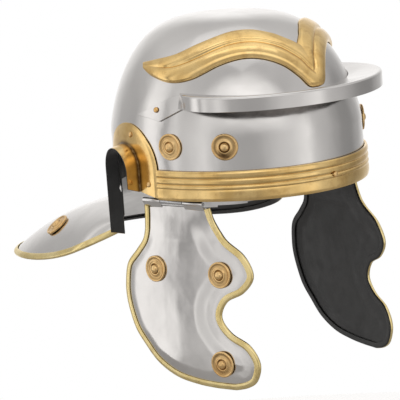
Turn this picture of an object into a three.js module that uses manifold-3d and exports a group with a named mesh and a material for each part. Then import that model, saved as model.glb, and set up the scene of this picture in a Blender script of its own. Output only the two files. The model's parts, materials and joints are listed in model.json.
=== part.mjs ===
// A Roman legionary helmet of polished steel with brass fittings.
// Millimetres, +Z up, the face opening towards -Y, the wearer's right towards -X.
// Heights are worked out from the bowl's rim; at the end the whole helmet is lowered so that
// the origin is the inside of the crown, where the helmet sits on a head.
import * as THREE from "three";
import { mergeVertices } from "three/addons/utils/BufferGeometryUtils.js";
import Module from "manifold-3d";

const wasm = await Module();
wasm.setup();

// Sheet thicknesses and the clearance between pieces that touch
const steelSheet = 1.2;
const brassSheet = 0.8;
const fitGap = 0.3;

// Bowl, measured on its outer face
const bowlWidth = 203;
const bowlLength = 229;
const bowlHeight = 144;
const wallHeight = 50;
const crownBack = 1.5;
const crownRound = 1.3;
const crownFull = 3.6;

// Ear arches cut in the bowl's rim, seen from the side
const earArchY = 31;
const earArchZ = 25;
const earArchRadius = 19.5;
const earRimRise = 4;
const earRimRun = 26;

// Neck guard: a broad plate that flares out of the nape
const guardBack = 230;
const guardWidth = 236;
const guardCornerIn = 20;
const guardCornerDrop = 33.5;
const guardBackDrop = 67;
const guardSquare = 3.6;
const guardSlope = 10;
const napeDropSide = 24;
const napeDropBack = 17;
const napeFold = 8;

// Brow guard: a flat shelf over the brow with a rim turned down
const browGuardHeight = 89.2;
const browGuardRim = 12.3;
const browGuardReach = 31;
const browGuardTipY = -35;
const browTabLength = 49;
const browTabDrop = 22;

// Brow band: ribbed brass strip round the front of the rim
const bandHeight = 25;
const bandProud = 1.9;

// Eyebrows embossed on the crown
const browHeight = 3.4;

// Ear guards
const earPlateY = 27;
const earPlateZ = 24;
const earPlateRadius = 38;
const earFlange = 15;
const earFlangeCut = 6;
const earLegFoot = 8;
const earLegBelow = 3;
const earLegOut = 3;

// Cheek guards
const cheekWidth = 143.5;
const cheekDrop = 156.8;
const cheekDishDown = 4.6;
const cheekDishAcross = 2.45;
const cheekSplay = 2.5;
const cheekSetIn = 0.6;
const edgingWidth = 4.2;
const edgingGap = 0.5;

// Hinges
const hingeRearY = 16;
const hingeFrontY = -49.5;
const hingeInset = 4.1;
const hingeDrop = 3;
const knuckleRadius = 2.1;
const pinRadius = 0.8;
const leafHeight = 17;

// Rosettes and rivets
const rosetteRadius = 11.8;
const rosetteRise = 4.4;
const rosetteHeight = 45.5;
const rivetRadius = 2.4;
const rivetRise = 1.6;

const degree = Math.PI / 180;
const halfWidth = bowlWidth / 2;
const halfLength = bowlLength / 2;
const vec = (x, y, z) => new THREE.Vector3(x, y, z);
const mix = THREE.MathUtils.lerp;

const steel = { color: 0xc9cbce, roughness: 0.24, metalness: 1 };
const brass = { color: 0xd9a94e, roughness: 0.28, metalness: 1 };
const helmet = new THREE.Group();
const shell = new THREE.Group();
helmet.add(shell);

function addPiece(name, geometry, finish) {
  geometry.computeVertexNormals();
  const mesh = new THREE.Mesh(geometry, new THREE.MeshStandardMaterial(finish));
  mesh.name = name;
  shell.add(mesh);
  return mesh;
}

// Indexed geometry from points and triangles, turned so that its faces point out
function closedGeometry(points, triangles) {
  let volume = 0;
  for (const [a, b, c] of triangles) {
    volume += points[a].dot(points[b].clone().cross(points[c]));
  }
  const order = volume < 0 ? [0, 2, 1] : [0, 1, 2];
  const geometry = new THREE.BufferGeometry();
  const positions = points.flatMap((p) => [p.x, p.y, p.z]);
  geometry.setAttribute("position", new THREE.Float32BufferAttribute(positions, 3));
  geometry.setIndex(triangles.flatMap((t) => order.map((k) => t[k])));
  return geometry;
}

// Merges equal grid points and lists the triangles of the cells that are kept
function gridFaces(rows, keep) {
  const points = [];
  const found = new Map();
  const ids = rows.map((row) => row.map((p) => {
    const key = [p.x, p.y, p.z].map((value) => Math.round(value * 1e4)).join(",");
    if (!found.has(key)) {
      found.set(key, points.length);
      points.push(p.clone());
    }
    return found.get(key);
  }));
  const faces = [];
  for (let i = 0; i + 1 < rows.length; i++) {
    for (let j = 0; j + 1 < rows[0].length; j++) {
      if (!keep(i, j)) continue;
      const [a, b, c, d] = [ids[i][j], ids[i][j + 1], ids[i + 1][j + 1], ids[i + 1][j]];
      faces.push([a, b, c], [a, c, d]);
    }
  }
  return { points, ids, faces: faces.filter(([a, b, c]) => a !== b && b !== c && a !== c) };
}

// A closed solid between a grid's outer points and the matching inner points
function closeGrid(points, inner, faces) {
  const count = points.length;
  const edges = new Set(faces.flatMap(([a, b, c]) => [`${a} ${b}`, `${b} ${c}`, `${c} ${a}`]));
  const all = [...faces];
  for (const [a, b, c] of faces) {
    all.push([c + count, b + count, a + count]);
  }
  for (const edge of edges) {
    const [p, q] = edge.split(" ").map(Number);
    if (edges.has(`${q} ${p}`)) continue;
    all.push([q, p, p + count], [q, p + count, q + count]);
  }
  const used = new Map();
  const kept = [];
  const source = [...points, ...inner];
  const packed = all.map((face) => face.map((id) => {
    if (!used.has(id)) {
      used.set(id, kept.length);
      kept.push(source[id]);
    }
    return used.get(id);
  }));
  return closedGeometry(kept, packed);
}

// A sheet of even thickness under a grid of outer points: columns run to the wearer's right
// and rows run down, so that columns x rows points out of the helmet
function sheet(rows, thickness, keep = () => true) {
  const { points, faces } = gridFaces(rows, keep);
  const normals = points.map(() => vec(0, 0, 0));
  for (const [a, b, c] of faces) {
    const cross = points[b].clone().sub(points[a]).cross(points[c].clone().sub(points[a]));
    for (const id of [a, b, c]) normals[id].add(cross);
  }
  const inner = points.map((p, k) => p.clone().addScaledVector(normals[k].normalize(), -thickness));
  return closeGrid(points, inner, faces);
}

// A solid between two grids of the same size
function slab(outerRows, innerRows) {
  const { points, ids, faces } = gridFaces(outerRows, () => true);
  const inner = points.map(() => null);
  ids.forEach((row, i) => row.forEach((id, j) => {
    inner[id] = innerRows[i][j];
  }));
  return closeGrid(points, inner, faces);
}

// A section of [outward, up] points swept along stations of place, outward and up
function sweep(stations, section) {
  const points = stations.flatMap(({ place, outward, up }) => section.map(([along, over]) => (
    place.clone().addScaledVector(outward, along).addScaledVector(up, over))));
  const size = section.length;
  const faces = [];
  for (let i = 0; i + 1 < stations.length; i++) {
    for (let j = 0; j < size; j++) {
      const [a, b] = [i * size + j, i * size + (j + 1) % size];
      faces.push([a, b, b + size], [a, b + size, a + size]);
    }
  }
  const flat = section.map(([along, over]) => new THREE.Vector2(along, over));
  const last = (stations.length - 1) * size;
  const turn = THREE.ShapeUtils.isClockWise(flat) ? 1 : -1;
  for (const [a, b, c] of THREE.ShapeUtils.triangulateShape(flat, [])) {
    const cap = turn * signedArea(flat[a], flat[b], flat[c]) > 0 ? [a, b, c] : [a, c, b];
    faces.push(cap, cap.map((id) => id + last).reverse());
  }
  return closedGeometry(points, faces);
}

function signedArea(a, b, c) {
  return (b.x - a.x) * (c.y - a.y) - (b.y - a.y) * (c.x - a.x);
}

function toSolid(geometry) {
  const bare = geometry.clone();
  for (const name of Object.keys(bare.attributes)) {
    if (name !== "position") bare.deleteAttribute(name);
  }
  const merged = mergeVertices(bare, 1e-4);
  return new wasm.Manifold(new wasm.Mesh({
    numProp: 3,
    vertProperties: new Float32Array(merged.attributes.position.array),
    triVerts: new Uint32Array(merged.index.array),
  }));
}

function toGeometry(solid) {
  const mesh = solid.getMesh();
  const geometry = new THREE.BufferGeometry();
  geometry.setAttribute("position", new THREE.BufferAttribute(mesh.vertProperties, 3));
  geometry.setIndex(new THREE.BufferAttribute(mesh.triVerts, 1));
  return geometry;
}

function join(...geometries) {
  return toGeometry(geometries.map(toSolid).reduce((sum, solid) => sum.add(solid)));
}

// The same piece on the wearer's left
function mirrored(geometry) {
  const copy = geometry.index ? geometry.clone() : mergeVertices(geometry.clone());
  copy.scale(-1, 1, 1);
  const index = copy.index.array;
  for (let k = 0; k < index.length; k += 3) {
    [index[k + 1], index[k + 2]] = [index[k + 2], index[k + 1]];
  }
  return copy;
}

// Share of the bowl's half width left at a height above the rim, and the reverse
function bowlShare(height) {
  const rise = Math.max(0, (height - wallHeight) / (bowlHeight - wallHeight));
  return (1 - rise ** crownRound) ** (1 / crownFull);
}

function heightAtShare(share) {
  return wallHeight + (bowlHeight - wallHeight) * (1 - share ** crownFull) ** (1 / crownRound);
}

// A point on the bowl, turned round from the front towards the wearer's right, and lifted
// off the outer face by a distance
function bowlPoint(turn, height, lift = 0) {
  const share = bowlShare(height);
  const rise = Math.max(1e-9, (height - wallHeight) / (bowlHeight - wallHeight));
  const back = crownBack * Math.max(0, height / bowlHeight) ** 2;
  const x = -halfWidth * share * Math.sin(turn);
  const y = -halfLength * share * Math.cos(turn);
  let lean = 0;
  if (height > wallHeight && share > 1e-6) {
    const bend = crownRound * rise ** (crownRound - 1) / (crownFull * (bowlHeight - wallHeight));
    lean = bend * share ** (2 - crownFull);
  }
  const normal = share > 1e-6 ? vec(x / halfWidth ** 2, y / halfLength ** 2, lean) : vec(0, 0, 1);
  return vec(x, y + back, height).addScaledVector(normal.normalize(), lift);
}

// The bowl's upright wall seen from the side: how far out it stands at a place along Y
function wallX(y, height, lift) {
  const share = bowlShare(height);
  const back = crownBack * Math.max(0, height / bowlHeight) ** 2;
  const along = Math.min(0.999, Math.abs(y - back) / (halfLength * share + lift));
  return (halfWidth * share + lift) * Math.sqrt(1 - along ** 2);
}

const wallTurn = (y) => Math.acos(-y / halfLength);
const earCutRadius = earArchRadius + fitGap;
const guardStartY = earArchY + earCutRadius;
const guardStartTurn = wallTurn(guardStartY);

// Neck guard's rim, from its front corner (share 0) round to the back (share 1): it reaches
// its full width early and drops quickly behind the corner
const guardFlare = 4.5;
const guardDropPower = 3;

function guardRim(share) {
  const turn = Math.max(0, share) * Math.PI / 2;
  const [c, s] = [Math.cos(turn), Math.sin(turn)];
  const reach = (c ** guardSquare + s ** guardSquare) ** (-1 / guardSquare);
  const along = s * reach;
  const widened = Math.sin(Math.min(1, along * guardFlare) * Math.PI / 2);
  const flare = mix(1 - guardCornerIn / (guardWidth / 2), 1, widened);
  const y = mix(guardStartY, guardBack, along);
  const drop = mix(guardBackDrop, guardCornerDrop, (1 - along) ** guardDropPower);
  const rim = vec(-guardWidth / 2 * c * reach * flare, y, -drop);
  return share < 0 ? rim.add(vec(0, share * guardBack, 0)) : rim;
}

// One section of nape and neck guard, from under the rim down and out to the guard's edge:
// the places along it as shares of the way out, and the angles round the fold before them
const guardShares = [0.18, 0.4, 0.62, 0.82, 1];
const foldAngles = [0, 40, 80];
const foldShare = 0.6;
const guardBendPower = 2.2;

function guardSection(turn, shares = guardShares) {
  const side = turn > Math.PI ? -1 : 1;
  const near = side > 0 ? turn : 2 * Math.PI - turn;
  const share = (near - guardStartTurn) / (Math.PI - guardStartTurn);
  const rim = guardRim(share);
  const wall = bowlPoint(near, 0);
  const out = vec(rim.x - wall.x, rim.y - wall.y, 0);
  const run = out.length();
  out.normalize();
  const radius = Math.min(napeFold, run * foldShare);
  const fold = -mix(napeDropSide, napeDropBack, Math.min(1, Math.max(0, share) * 2));
  const section = foldAngles.map((angle) => wall.clone()
    .addScaledVector(out, radius * (1 - Math.cos(angle * degree)))
    .setZ(fold + radius * (1 - Math.sin(angle * degree))));
  const start = section[section.length - 1];
  const width = run - radius * (1 - Math.cos(foldAngles[foldAngles.length - 1] * degree));
  const slope = Math.tan(guardSlope * degree) * width;
  for (const step of shares) {
    const z = start.z - slope * step - (start.z - rim.z - slope) * step ** guardBendPower;
    section.push(start.clone().addScaledVector(out, width * step).setZ(z));
  }
  return section.map((p) => vec(p.x * side, p.y, p.z));
}

// The bowl, nape and neck guard are raised from one sheet
const crownShares = [0, 0.22, 0.42, 0.58, 0.71, 0.81, 0.885, 0.94, 0.98];
const frontColumns = 30;
const backColumns = 24;
const cutTurn = 1.6 * degree;
const cornerCrowding = 0.6;

// Turns of the bowl's columns: even round the front, and closer together at the neck guard's
// corners than at its back
function bowlTurns() {
  const start = guardStartTurn - cutTurn;
  const crowd = (share) => share - cornerCrowding * Math.sin(2 * Math.PI * share) / (2 * Math.PI);
  const turns = [];
  for (let k = 0; k <= frontColumns; k++) {
    turns.push(mix(-start, start, k / frontColumns));
  }
  for (let k = 1; k <= backColumns; k++) {
    turns.push(mix(start, 2 * Math.PI - start, crowd(k / backColumns)));
  }
  return turns;
}

function bowlGeometry() {
  const turns = bowlTurns();
  const heights = [...crownShares.map(heightAtShare), wallHeight, wallHeight / 2, 0];
  const rows = heights.map((height) => turns.map((turn) => bowlPoint(turn, height)));
  const sections = turns.map((turn, j) => (j < frontColumns ? null : guardSection(turn)));
  const below = foldAngles.length + guardShares.length;
  for (let k = 0; k < below; k++) {
    rows.push(turns.map((turn, j) => (sections[j] ? sections[j][k] : vec(j, 0, -1000 - k))));
  }
  const blank = sheet(rows, steelSheet, (i, j) => i < heights.length - 1 || j >= frontColumns);
  return toGeometry(toSolid(blank).subtract(toSolid(earCutGeometry())));
}

// What the ear arches and the rising rim before them take out of the bowl, side to side
function earCutGeometry() {
  const below = -guardBackDrop - napeDropSide;
  const shape = new THREE.Shape();
  shape.moveTo(earArchY - earCutRadius - earRimRun, below);
  shape.lineTo(earArchY - earCutRadius - earRimRun, 0);
  shape.lineTo(earArchY - earCutRadius, earRimRise);
  shape.lineTo(earArchY - earCutRadius, earArchZ);
  shape.absarc(earArchY, earArchZ, earCutRadius, Math.PI, 0, true);
  shape.lineTo(earArchY + earCutRadius, below);
  const depth = bowlWidth * 2;
  const geometry = new THREE.ExtrudeGeometry(shape, { depth, bevelEnabled: false, curveSegments: 18 });
  geometry.applyMatrix4(new THREE.Matrix4().set(
    0, 0, 1, -depth / 2,
    1, 0, 0, 0,
    0, 1, 0, 0,
    0, 0, 0, 1,
  ));
  return geometry;
}

addPiece("bowl", bowlGeometry(), steel);

// Brass edging laid over the top and edge of a plate
const edgingSection = [
  [-edgingWidth, edgingGap],
  [-edgingWidth, edgingGap + brassSheet],
  [edgingGap + brassSheet, edgingGap + brassSheet],
  [edgingGap + brassSheet, -steelSheet],
  [edgingGap, -steelSheet],
  [edgingGap, edgingGap],
];

function guardEdgingGeometry() {
  const turns = bowlTurns().slice(frontColumns + 1, -1);
  const stations = turns.map((turn) => {
    const section = guardSection(turn);
    const place = section[section.length - 1];
    const slope = place.clone().sub(section[section.length - 2]).normalize();
    return { place, slope };
  });
  const trimmed = stations.filter(({ place }) => place.y > guardStartY + fitGap);
  trimmed.forEach((station, k) => {
    const before = trimmed[Math.max(0, k - 1)].place;
    const after = trimmed[Math.min(trimmed.length - 1, k + 1)].place;
    const along = after.clone().sub(before).normalize();
    station.up = along.clone().cross(station.slope).normalize();
    if (station.up.z < 0) station.up.negate();
    station.outward = station.up.clone().cross(along).normalize();
    if (station.outward.dot(station.slope) < 0) station.outward.negate();
  });
  return sweep(trimmed, edgingSection);
}

addPiece("neck_guard_edging", guardEdgingGeometry(), brass);

// Brow band: how far each height of the section stands proud, as shares of its own sizes
const bandTable = [
  { height: 1, proud: 0.45 },
  { height: 0.95, proud: 1 },
  { height: 0.84, proud: 0.5 },
  { height: 0.76, proud: 1 },
  { height: 0.66, proud: 0.5 },
  { height: 0.58, proud: 1 },
  { height: 0.47, proud: 0.45 },
  { height: 0.36, proud: 0.95 },
  { height: 0.14, proud: 1 },
  { height: 0, proud: 0.4 },
];
const bandColumns = 28;
const bandEndTurn = wallTurn(earPlateY - earPlateRadius - 2 * fitGap);

function bandGeometry() {
  const innerLift = 2 * fitGap;
  const section = [
    ...bandTable.map((row) => [innerLift + brassSheet + row.proud * bandProud, row.height * bandHeight]),
    [innerLift, 0],
    [innerLift, bandHeight],
  ];
  const stations = Array.from({ length: bandColumns + 1 }, (_, k) => {
    const turn = mix(-bandEndTurn, bandEndTurn, k / bandColumns);
    const place = bowlPoint(turn, fitGap);
    return { place, outward: bowlPoint(turn, fitGap, 1).sub(place), up: vec(0, 0, 1) };
  });
  return sweep(stations, section);
}

addPiece("brow_band", bandGeometry(), brass);

// Brow guard's outline from above, from the front (share 0) to the temple (share 1): it
// narrows a little towards the sides and then quickly to its tip
const guardTipTurn = wallTurn(browGuardTipY);
const shelfLift = fitGap + steelSheet;
const shelfTipPower = 7;
const shelfNarrowing = 0.2;

function shelfEdge(share) {
  const side = Math.sign(share) || 1;
  const near = Math.abs(share);
  const bowl = bowlPoint(guardTipTurn * near, browGuardHeight - steelSheet);
  const out = vec(bowl.x / halfWidth ** 2, bowl.y / halfLength ** 2, 0).normalize();
  const tip = 1 - near ** shelfTipPower;
  const reach = browGuardReach * tip * (1 - shelfNarrowing * near ** 2) + shelfLift;
  const edge = (distance, height) => {
    const p = bowl.clone().addScaledVector(out, distance);
    return vec(p.x * side, p.y, height);
  };
  const foot = browGuardHeight - browGuardRim;
  const spread = bowlPoint(guardTipTurn * near, foot).sub(bowl).dot(out);
  return {
    inner: edge(fitGap, browGuardHeight),
    middle: edge(mix(fitGap, reach, 0.5), browGuardHeight),
    outer: edge(reach, browGuardHeight),
    foot: edge(reach + Math.max(0, spread - browGuardReach * tip / 2), foot),
  };
}

const shelfColumns = 30;

function browGuardGeometry() {
  const edges = Array.from({ length: shelfColumns + 1 }, (_, k) => (
    shelfEdge(mix(-1, 1, k / shelfColumns))));
  const rows = [
    edges.map((edge) => edge.inner),
    edges.map((edge) => edge.middle),
    edges.map((edge) => edge.outer),
    edges.map((edge) => edge.foot),
  ];
  return join(sheet(rows, steelSheet), tabGeometry(), mirrored(tabGeometry()));
}

// Pointed tab at each temple that holds the brow guard to the bowl
const tabTable = [
  { along: 0, top: 0, bottom: 0.5 },
  { along: 0.265, top: 0.1, bottom: 0.8 },
  { along: 0.46, top: 0.3, bottom: 1 },
  { along: 0.73, top: 0.58, bottom: 0.9 },
  { along: 1, top: 0.78, bottom: 0.84 },
];
const tabOverlap = 3;
const tabLift = shelfLift + fitGap / 2;

function tabPlace(along, down) {
  const y = browGuardTipY - tabOverlap + along * browTabLength;
  const height = browGuardHeight - steelSheet - down * browTabDrop;
  return { turn: Math.acos(-y / (halfLength * bowlShare(height))), height };
}

function tabGeometry() {
  const rows = [0, 0.5, 1].map((across) => tabTable.map((row) => {
    const { turn, height } = tabPlace(row.along, mix(row.top, row.bottom, across));
    return bowlPoint(turn, height, tabLift);
  }));
  return sheet(rows, steelSheet);
}

addPiece("brow_guard", browGuardGeometry(), steel);

// Eyebrows: the upper and lower edges on the crown, from the tail to the middle of the front,
// as turns from the front in degrees and shares of the height between brow guard and crown
const browTable = [
  { upTurn: 103, upRise: 0.38, lowTurn: 101, lowRise: 0.325 },
  { upTurn: 91, upRise: 0.42, lowTurn: 92, lowRise: 0.225 },
  { upTurn: 79, upRise: 0.5, lowTurn: 80, lowRise: 0.135 },
  { upTurn: 64.5, upRise: 0.705, lowTurn: 67, lowRise: 0.19 },
  { upTurn: 46, upRise: 0.825, lowTurn: 52, lowRise: 0.37 },
  { upTurn: 29, upRise: 0.83, lowTurn: 39, lowRise: 0.46 },
  { upTurn: 15.4, upRise: 0.765, lowTurn: 27, lowRise: 0.44 },
  { upTurn: 8, upRise: 0.68, lowTurn: 17, lowRise: 0.325 },
  { upTurn: 3, upRise: 0.61, lowTurn: 9.5, lowRise: 0.135 },
  { upTurn: 0, upRise: 0.54, lowTurn: 0, lowRise: 0 },
];
const browColumns = 13;

// A value from a table's column at a share of the way down it, on a smooth curve
function fromTable(table, column, share) {
  const curve = new THREE.SplineCurve(table.map((row, k) => new THREE.Vector2(k, row[column])));
  return curve.getPoint(share).y;
}

const browSection = [
  { across: 0, rise: 0 },
  { across: 0.14, rise: 0.8 },
  { across: 0.32, rise: 0.95 },
  { across: 0.48, rise: 0.5 },
  { across: 0.68, rise: 1 },
  { across: 0.88, rise: 0.75 },
  { across: 1, rise: 0 },
];

function browGeometry() {
  const floor = browGuardHeight + fitGap;
  const columns = Array.from({ length: 2 * browColumns + 1 }, (_, k) => k / browColumns - 1);
  const grid = (lift) => browSection.map((line) => columns.map((position) => {
    const share = 1 - Math.abs(position);
    const pick = (high, low) => (
      mix(fromTable(browTable, high, share), fromTable(browTable, low, share), line.across));
    const height = mix(floor, bowlHeight, pick("upRise", "lowRise"));
    const point = bowlPoint(pick("upTurn", "lowTurn") * degree, height, lift(line));
    return vec(position < 0 ? -point.x : point.x, point.y, point.z);
  }));
  const base = 2 * fitGap;
  return slab(grid((line) => base + brassSheet + line.rise * browHeight), grid(() => base));
}

addPiece("eyebrows", browGeometry(), brass);

// Ear guard: a plate round the ear arch, folded outwards into a flange whose rear leg runs
// down past the neck guard's corner. Each place on the path has the fold at fy and fz and the
// plate's edge at py and pz; cut is how far the flange's corner is taken back.
const earSteps = 12;
const earLift = 2 * fitGap + brassSheet;

function earPath() {
  const front = { fy: earArchY - earArchRadius, py: earPlateY - earPlateRadius, plate: true };
  const rear = { fy: earArchY + earArchRadius, py: earPlateY + earPlateRadius, plate: false };
  const path = [
    { ...front, fz: earLegFoot, pz: earRimRise, cut: earFlangeCut },
    { ...front, fz: mix(earLegFoot, earArchZ, 0.5), pz: mix(earRimRise, earPlateZ, 0.5) },
  ];
  for (let k = 0; k <= earSteps; k++) {
    const angle = Math.PI * (1 - k / earSteps);
    path.push({
      fy: earArchY + earArchRadius * Math.cos(angle),
      fz: earArchZ + earArchRadius * Math.sin(angle),
      py: earPlateY + earPlateRadius * Math.cos(angle),
      pz: earPlateZ + earPlateRadius * Math.sin(angle),
      plate: true,
    });
  }
  const foot = -guardCornerDrop - earLegBelow;
  path.push({ ...rear, fz: earRimRise, pz: earRimRise, plate: true });
  path.push({ ...rear, fz: mix(earRimRise, foot, 0.5), pz: earRimRise, out: earLegOut });
  path.push({ ...rear, fz: foot, pz: earRimRise, out: earLegOut, cut: earFlangeCut });
  return path;
}

function earGuardGeometry() {
  const path = earPath();
  const onWall = (y, z) => vec(-wallX(y, Math.max(0, z), earLift), y, z);
  const rows = [
    path.map((p) => onWall(p.py, p.pz)),
    path.map((p) => onWall(mix(p.fy, p.py, 0.5), mix(p.fz, p.pz, 0.5))),
    path.map((p) => onWall(p.fy, p.fz).add(vec(-(p.out ?? 0), 0, 0))),
    path.map((p) => onWall(p.fy, p.fz + (p.cut ?? 0)).add(vec(-earFlange, 0, 0))),
  ];
  return sheet(rows, brassSheet, (i, j) => i === 2 || (path[j].plate && path[j + 1].plate));
}

const earGuard = earGuardGeometry();
addPiece("ear_guard_right", earGuard, brass);
addPiece("ear_guard_left", mirrored(earGuard), brass);

// Hinge line under the rim, and the cheek guard's own directions: forward along the hinge,
// down the plate and out through its face
const hingeEnds = [hingeRearY, hingeFrontY].map((y) => (
  vec(-wallX(y, 0, 0) + hingeInset, y, -hingeDrop)));
const forward = hingeEnds[1].clone().sub(hingeEnds[0]).normalize();
const level = vec(0, 0, -1).cross(forward).normalize();
const down = vec(0, 0, -1).multiplyScalar(Math.cos(cheekSplay * degree))
  .addScaledVector(level, Math.sin(cheekSplay * degree));
const face = level.clone().multiplyScalar(Math.cos(cheekSplay * degree))
  .addScaledVector(vec(0, 0, 1), Math.sin(cheekSplay * degree));
const hingeStart = hingeEnds[0].clone().addScaledVector(forward, hingeRearY / -forward.y);

function onCheek(along, drop, out) {
  return hingeStart.clone().addScaledVector(forward, along)
    .addScaledVector(down, drop).addScaledVector(face, out);
}

// Cheek guard's edged outline, rear and front, as shares of its width and drop, from the
// hinge down; the plate stops short of it by the edging's reach
const cheekTable = [
  { rear: -0.146, rearDrop: 0.03, front: 0.38, frontDrop: 0.022 },
  { rear: -0.145, rearDrop: 0.11, front: 0.4, frontDrop: 0.095 },
  { rear: -0.15, rearDrop: 0.215, front: 0.468, frontDrop: 0.19 },
  { rear: -0.205, rearDrop: 0.287, front: 0.609, frontDrop: 0.268 },
  { rear: -0.284, rearDrop: 0.368, front: 0.68, frontDrop: 0.366 },
  { rear: -0.306, rearDrop: 0.48, front: 0.585, frontDrop: 0.469 },
  { rear: -0.3, rearDrop: 0.56, front: 0.482, frontDrop: 0.52 },
  { rear: -0.276, rearDrop: 0.644, front: 0.445, frontDrop: 0.6 },
  { rear: -0.24, rearDrop: 0.727, front: 0.518, frontDrop: 0.675 },
  { rear: -0.18, rearDrop: 0.8, front: 0.642, frontDrop: 0.742 },
  { rear: -0.08, rearDrop: 0.895, front: 0.694, frontDrop: 0.834 },
  { rear: 0.06, rearDrop: 0.962, front: 0.65, frontDrop: 0.933 },
  { rear: 0.23, rearDrop: 0.991, front: 0.59, frontDrop: 0.98 },
  { rear: 0.37, rearDrop: 1, front: 0.5, frontDrop: 1 },
];
const cheekRowCount = 21;
const cheekColumns = 6;
const edgingReach = edgingGap + brassSheet;
const plateDrop = cheekDrop - edgingReach;
const rearEdge = new THREE.SplineCurve(cheekTable.map((row) => (
  new THREE.Vector2(row.rear * cheekWidth + edgingReach, row.rearDrop * plateDrop))));
const frontEdge = new THREE.SplineCurve(cheekTable.map((row) => (
  new THREE.Vector2(row.front * cheekWidth - edgingReach, row.frontDrop * plateDrop))));

// How far the dished plate stands out of the hinge plane: it bends back from its middle, and
// its neck comes up level to the hinge
const dishTable = { middleAlong: 0.14, halfAlong: 0.35, middleDrop: 0.48, halfDrop: 0.51, neck: 0.16 };

function cheekOut(along, drop) {
  const across = (along / cheekWidth - dishTable.middleAlong) / dishTable.halfAlong;
  const low = (drop / cheekDrop - dishTable.middleDrop) / dishTable.halfDrop;
  const neck = Math.min(1, Math.max(0, drop / cheekDrop / dishTable.neck));
  return -cheekSetIn - neck * (cheekDishAcross * across ** 2 + cheekDishDown * low ** 2);
}

const cheekPoint = (place) => onCheek(place.x, place.y, cheekOut(place.x, place.y));
const cheekRows = Array.from({ length: cheekRowCount }, (_, i) => {
  const share = i / (cheekRowCount - 1);
  const rear = rearEdge.getPoint(share);
  const front = frontEdge.getPoint(share);
  return Array.from({ length: cheekColumns + 1 }, (_, j) => front.clone().lerp(rear, j / cheekColumns));
});

function cheekNormal(place) {
  const step = 0.5;
  const alongStep = cheekPoint(place.clone().add(new THREE.Vector2(step, 0))).sub(cheekPoint(place));
  const dropStep = cheekPoint(place.clone().add(new THREE.Vector2(0, step))).sub(cheekPoint(place));
  const normal = dropStep.cross(alongStep).normalize();
  return normal.dot(face) < 0 ? normal.negate() : normal;
}

// A ring of points round the hinge line
const hingeSides = 10;

function hingeRing(radius, along) {
  return Array.from({ length: hingeSides + 1 }, (_, k) => {
    const angle = 2 * Math.PI * k / hingeSides;
    return onCheek(along, radius * Math.cos(angle), radius * Math.sin(angle));
  });
}

// A tube round the hinge pin between two places along the hinge
function knuckleGeometry(from, to) {
  const bore = pinRadius + fitGap;
  const rows = [
    hingeRing(knuckleRadius, from),
    hingeRing(knuckleRadius, to),
    hingeRing(bore, to),
    hingeRing(bore, from),
  ];
  rows.push(rows[0]);
  const { points, faces } = gridFaces(rows, () => true);
  return closedGeometry(points, faces);
}

// The hinge has three knuckles: the outer two are rolled from the cheek guard
const hingeLength = hingeEnds[0].distanceTo(hingeEnds[1]);
const hingeRear = hingeRearY / forward.y;
const hingeFront = hingeRear + hingeLength;
const knuckleEnds = [0, 0.2, 0.62, 1].map((share) => mix(hingeRear, hingeFront, share));

// The strip of plate that joins the cheek guard's top edge to a knuckle's wall
function curlGeometry(from, to) {
  const wall = mix(pinRadius + fitGap, knuckleRadius, 0.3);
  const top = Math.max(cheekRows[0][0].y, cheekRows[0][cheekColumns].y) + steelSheet;
  const row = (along) => [
    onCheek(along, wall, steelSheet / 2),
    onCheek(along, wall, -steelSheet / 2),
    onCheek(along, top, cheekOut(along, top) - steelSheet),
    onCheek(along, top, cheekOut(along, top)),
    onCheek(along, wall, steelSheet / 2),
  ];
  const sides = gridFaces([row(from), row(to)], () => true);
  const count = row(from).length - 1;
  const faces = [...sides.faces, [0, 2, 1], [0, 3, 2], [count, count + 1, count + 2]];
  faces.push([count, count + 2, count + 3]);
  return closedGeometry(sides.points, faces);
}

function cheekGeometry() {
  const plate = sheet(cheekRows.map((row) => row.map(cheekPoint)), steelSheet);
  const pieces = [plate];
  for (const [from, to] of [[knuckleEnds[0], knuckleEnds[1]], [knuckleEnds[2], knuckleEnds[3]]]) {
    pieces.push(knuckleGeometry(from + fitGap, to - fitGap));
    pieces.push(curlGeometry(from + fitGap + steelSheet, to - fitGap - steelSheet));
  }
  return join(...pieces);
}

function cheekEdgingGeometry() {
  const last = cheekRows.length - 1;
  const loop = [
    ...cheekRows.map((row) => row[cheekColumns]),
    ...cheekRows[last].slice(1, cheekColumns).reverse(),
    ...cheekRows.map((row) => row[0]).reverse(),
  ];
  const stations = loop.map((place, k) => {
    const before = loop[Math.max(0, k - 1)];
    const after = loop[Math.min(loop.length - 1, k + 1)];
    const up = cheekNormal(place);
    const along = cheekPoint(after).sub(cheekPoint(before)).normalize();
    const outward = along.clone().cross(up).normalize();
    return { place: cheekPoint(place), outward, up };
  });
  return sweep(stations, edgingSection);
}

// Hinge leaf: hangs the middle knuckle from the inside of the bowl's wall
const leafSteps = 6;
const leafRises = [1, 0.5, 0.12];

function leafGeometry() {
  const [from, to] = [knuckleEnds[1] + fitGap, knuckleEnds[2] - fitGap];
  const columns = Array.from({ length: leafSteps + 1 }, (_, k) => mix(to, from, k / leafSteps));
  const lift = -steelSheet - fitGap;
  const rows = leafRises.map((rise) => columns.map((along) => {
    const y = onCheek(along, 0, 0).y;
    return vec(-wallX(y, 0, lift), y, leafHeight * rise);
  }));
  const wall = mix(pinRadius + fitGap, knuckleRadius, 0.4);
  rows.push(columns.map((along) => onCheek(along, -wall, steelSheet)));
  return join(sheet(rows, steelSheet), knuckleGeometry(from, to));
}

function pinGeometry() {
  const ends = [hingeRear - fitGap, hingeFront + fitGap];
  const rows = [
    hingeRing(0, ends[0]),
    hingeRing(pinRadius, ends[0]),
    hingeRing(pinRadius, ends[1]),
    hingeRing(0, ends[1]),
  ];
  const { points, faces } = gridFaces(rows, () => true);
  return closedGeometry(points, faces);
}

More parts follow.
